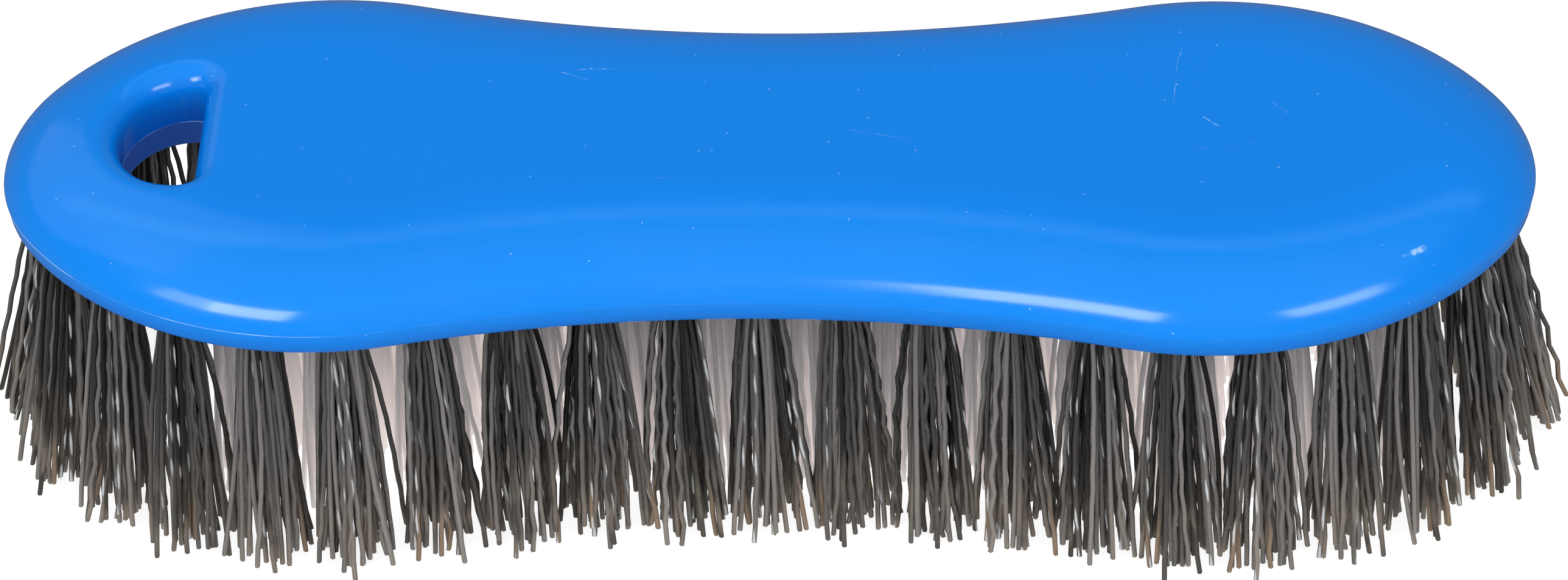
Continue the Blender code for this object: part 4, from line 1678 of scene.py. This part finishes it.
@dataclass
class Studio:
    """The floor, the lights and the camera.

    Attributes:
        target: What the camera looks at.
        elevation: Degrees that it looks down.
        yaw: Degrees that it looks to the left.
        roll: Degrees that its picture is turned.
        distance: How far off it stands.
        lens: Its focal length in millimetres.
        clip_start: How near it sees.
        floor_size: Length and width of the floor.
        floor_drop: How far the floor lies under the bristle tips.
        floor_tone: Grey of the floor.
        floor_roughness: Roughness of the floor.
        floor_specular: Strength of what it mirrors.
        floor_glow: Light that the floor gives itself.
        world: Light of the room.
        lights: The soft lights.
    """

    target: Triple = (1.56 * MM, 0.0, 21.4 * MM)
    elevation: float = 38.64
    yaw: float = 4.231
    roll: float = -2.4627
    distance: float = 1290.7 * MM
    lens: float = 225.0
    clip_start: float = 10 * MM
    floor_size: float = 6.0
    floor_drop: float = 0.2 * MM
    floor_tone: float = 0.35
    floor_roughness: float = 0.9
    floor_specular: float = 0.1
    floor_glow: float = 0.85
    world: float = 0.15
    lights: tuple[SoftLight, ...] = (
        SoftLight("main_soft", -6.0, 64.0, 1.3, 3.2, 2.4, 1.72, Use.SHADE),
        SoftLight("front_soft", 2.0, 10.0, 1.3, 0.9, 0.25, 2.0, Use.SHADE),
        SoftLight("sheet", 0.0, 81.0, 1.3, 2.6, 2.1, 0.32, Use.GLOSS, (0.05, 0.9, 1.0)),
        SoftLight("sheet_edge", 0.0, 117.0, 1.3, 2.6, 0.16, 0.5, Use.GLOSS, (0.75, 1.0, 1.0)),
        SoftLight("left_sheet", -120.0, 42.0, 1.3, 1.3, 1.1, 0.35, Use.GLOSS),
        SoftLight("left_strip", -27.0, 34.0, 1.3, 0.50, 0.36, 8.5, Use.GLOSS),
        SoftLight("left_strip_end", -47.0, 34.0, 1.3, 0.42, 0.36, 3.5, Use.GLOSS),
        SoftLight("right_strip", 43.0, 33.0, 1.3, 0.62, 0.30, 6.0, Use.GLOSS),
    )

    def add_camera(self) -> None:
        """Place the camera where the photograph was taken from."""
        rise, yaw = math.radians(self.elevation), math.radians(self.yaw)
        forward = Vector((
            -math.sin(yaw) * math.cos(rise), math.cos(yaw) * math.cos(rise), -math.sin(rise),
        ))
        right = Vector((math.cos(yaw), math.sin(yaw), 0.0))
        up = right.cross(forward)
        level = Matrix((right, up, -forward)).transposed()
        camera = bpy.data.objects.new("camera", bpy.data.cameras.new("camera"))
        camera.data.lens = self.lens
        camera.data.clip_start = self.clip_start
        place = Matrix.Translation(Vector(self.target) - forward * self.distance)
        camera.matrix_world = (
            place @ level.to_4x4() @ Matrix.Rotation(math.radians(self.roll), 4, "Z")
        )
        bpy.context.scene.collection.objects.link(camera)
        bpy.context.scene.camera = camera

    def add_lights(self) -> None:
        """Place the soft lights and the even light of the room."""
        for soft in self.lights:
            data = bpy.data.lights.new(soft.name, "AREA")
            data.shape = "RECTANGLE"
            data.size, data.size_y = soft.width, soft.height
            data.energy = soft.radiance * math.pi * soft.width * soft.height
            data.color = soft.colour
            light = bpy.data.objects.new(soft.name, data)
            turn, rise = math.radians(soft.azimuth), math.radians(soft.elevation)
            away = Vector((
                math.sin(turn) * math.cos(rise), -math.cos(turn) * math.cos(rise), math.sin(rise),
            ))
            light.location = away * soft.distance
            light.rotation_mode = "QUATERNION"
            light.rotation_quaternion = away.to_track_quat("Z", "Y")
            light.visible_diffuse = soft.use is Use.SHADE
            light.visible_glossy = soft.use is Use.GLOSS
            bpy.context.scene.collection.objects.link(light)
        world = bpy.data.worlds.new("studio")
        world.use_nodes = True
        world.node_tree.nodes["Background"].inputs["Strength"].default_value = self.world
        world.node_tree.nodes["Background"].inputs["Color"].default_value = (1, 1, 1, 1)
        bpy.context.scene.world = world

    def add_floor(self) -> None:
        """Lay the plain pale floor under the bristle tips."""
        bpy.ops.object.select_all(action="DESELECT")
        bpy.ops.mesh.primitive_plane_add(
            size=self.floor_size, location=(0, 0, -self.floor_drop),
        )
        floor = bpy.context.object
        floor.name = "pale_floor"
        material, _, shader = new_material("pale_floor")
        shader.inputs["Base Color"].default_value = (*[self.floor_tone] * 3, 1)
        shader.inputs["Roughness"].default_value = self.floor_roughness
        shader.inputs["Specular IOR Level"].default_value = self.floor_specular
        shader.inputs["Emission Color"].default_value = (1, 1, 1, 1)
        shader.inputs["Emission Strength"].default_value = self.floor_glow
        floor.data.materials.append(material)
        floor.visible_glossy = False

    def build(self) -> None:
        """Build the studio."""
        self.add_floor()
        self.add_lights()
        self.add_camera()
        bpy.context.scene.view_settings.view_transform = "Standard"


@dataclass
class ScrubBrush:
    """The whole brush: block and bristles, each on its node's body.

    Attributes:
        effects: The shared node groups.
        hole_from_end: From the block's end to the hanging hole.
        hole_depth: The hanging hole's size along the block.
        white_crimp: Crimp of the white filaments.
        white_strands: How many a white tuft has.
        white_stray: How far they stray.
        white_wild_share: The share of them that stands off.
        waist_seed: Comes before the seeds of the tufts along the waist.
        group_seed: Comes before the seeds of the groups.
    """

    effects: Effects = field(default_factory=Effects)
    hole_from_end: float = 15.3 * MM
    hole_depth: float = 10.7 * MM
    white_crimp: float = 0.05 * MM
    white_strands: int = 60
    white_stray: float = 0.35 * MM
    white_wild_share: float = 0.05
    waist_seed: int = 100
    group_seed: int = 200

    def __post_init__(self) -> None:
        """Take the driving sizes from the frame."""
        low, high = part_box("brush_block")
        self.plan = BlockPlan(length=high.x - low.x, lobe_width=high.y - low.y)
        hole_x = low.x + self.hole_from_end + self.hole_depth
        self.hole = HangingHole(straight_x=hole_x, depth=self.hole_depth)
        self.block = MouldedBlock(self.plan, self.hole, underside=low.z, top=high.z)
        self.layout = TuftLayout(self.plan, hole_x)

    def dress(
        self, piece: bpy.types.Object, node: str, material: bpy.types.Material,
    ) -> None:
        """Finish a piece and let it stand for its node.

        Args:
            piece: The piece.
            node: The node that it stands for.
            material: Its material.
        """
        piece.data.materials.clear()
        piece.data.materials.append(material)
        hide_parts(node)
        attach(piece, BODY)
        LOG.info("%s: %d faces, stands for %s", piece.name, len(piece.data.polygons), node)

    def build(self) -> None:
        """Build every piece."""
        outer, waist, groups = self.layout.outer(), self.layout.waist(), self.layout.groups()
        places = [place for place, _ in outer + waist + sum(groups, [])]
        plastic = BluePlastic(
            parting=self.block.parting, rim_height=self.block.rim_height,
            hole_centre=(self.hole.corner_x, 0.0, 0.0),
            hole_reach=(self.hole.reach, self.hole.width / 2, 1.0),
        ).make(self.effects)
        self.dress(self.block.model(places), "brush_block", plastic)

        grey, white = GREY_FILAMENT.make(self.effects), WHITE_FILAMENT.make(self.effects)
        underside = self.block.underside
        grey_maker = TuftMaker(underside)
        for index, spot in enumerate(outer, 1):
            piece = grey_maker.piece(f"grey_bristles_{index:02d}", [spot], False, index)
            self.dress(piece, f"grey_tuft_{index:02d}", grey)
        white_maker = TuftMaker(
            underside, Filament(crimp=self.white_crimp), strands=self.white_strands,
            stray=self.white_stray, wild_share=self.white_wild_share,
        )
        for index, spot in enumerate(waist, 1):
            name = f"white_bristles_{index:02d}"
            piece = white_maker.piece(name, [spot], True, self.waist_seed + index)
            self.dress(piece, f"white_tuft_{index:02d}", white)
        for index, group in enumerate(groups, 1):
            name = f"white_bristle_group_{index:02d}"
            piece = white_maker.piece(name, group, True, self.group_seed + index)
            self.dress(piece, f"white_tuft_group_{index:02d}", white)


def main() -> None:
    """Build the brush and its studio."""
    logging.basicConfig(level=logging.INFO, format="%(name)s: %(message)s")
    ScrubBrush().build()
    Studio().build()
    bpy.context.view_layer.update()


if __name__ == "__main__":
    main()
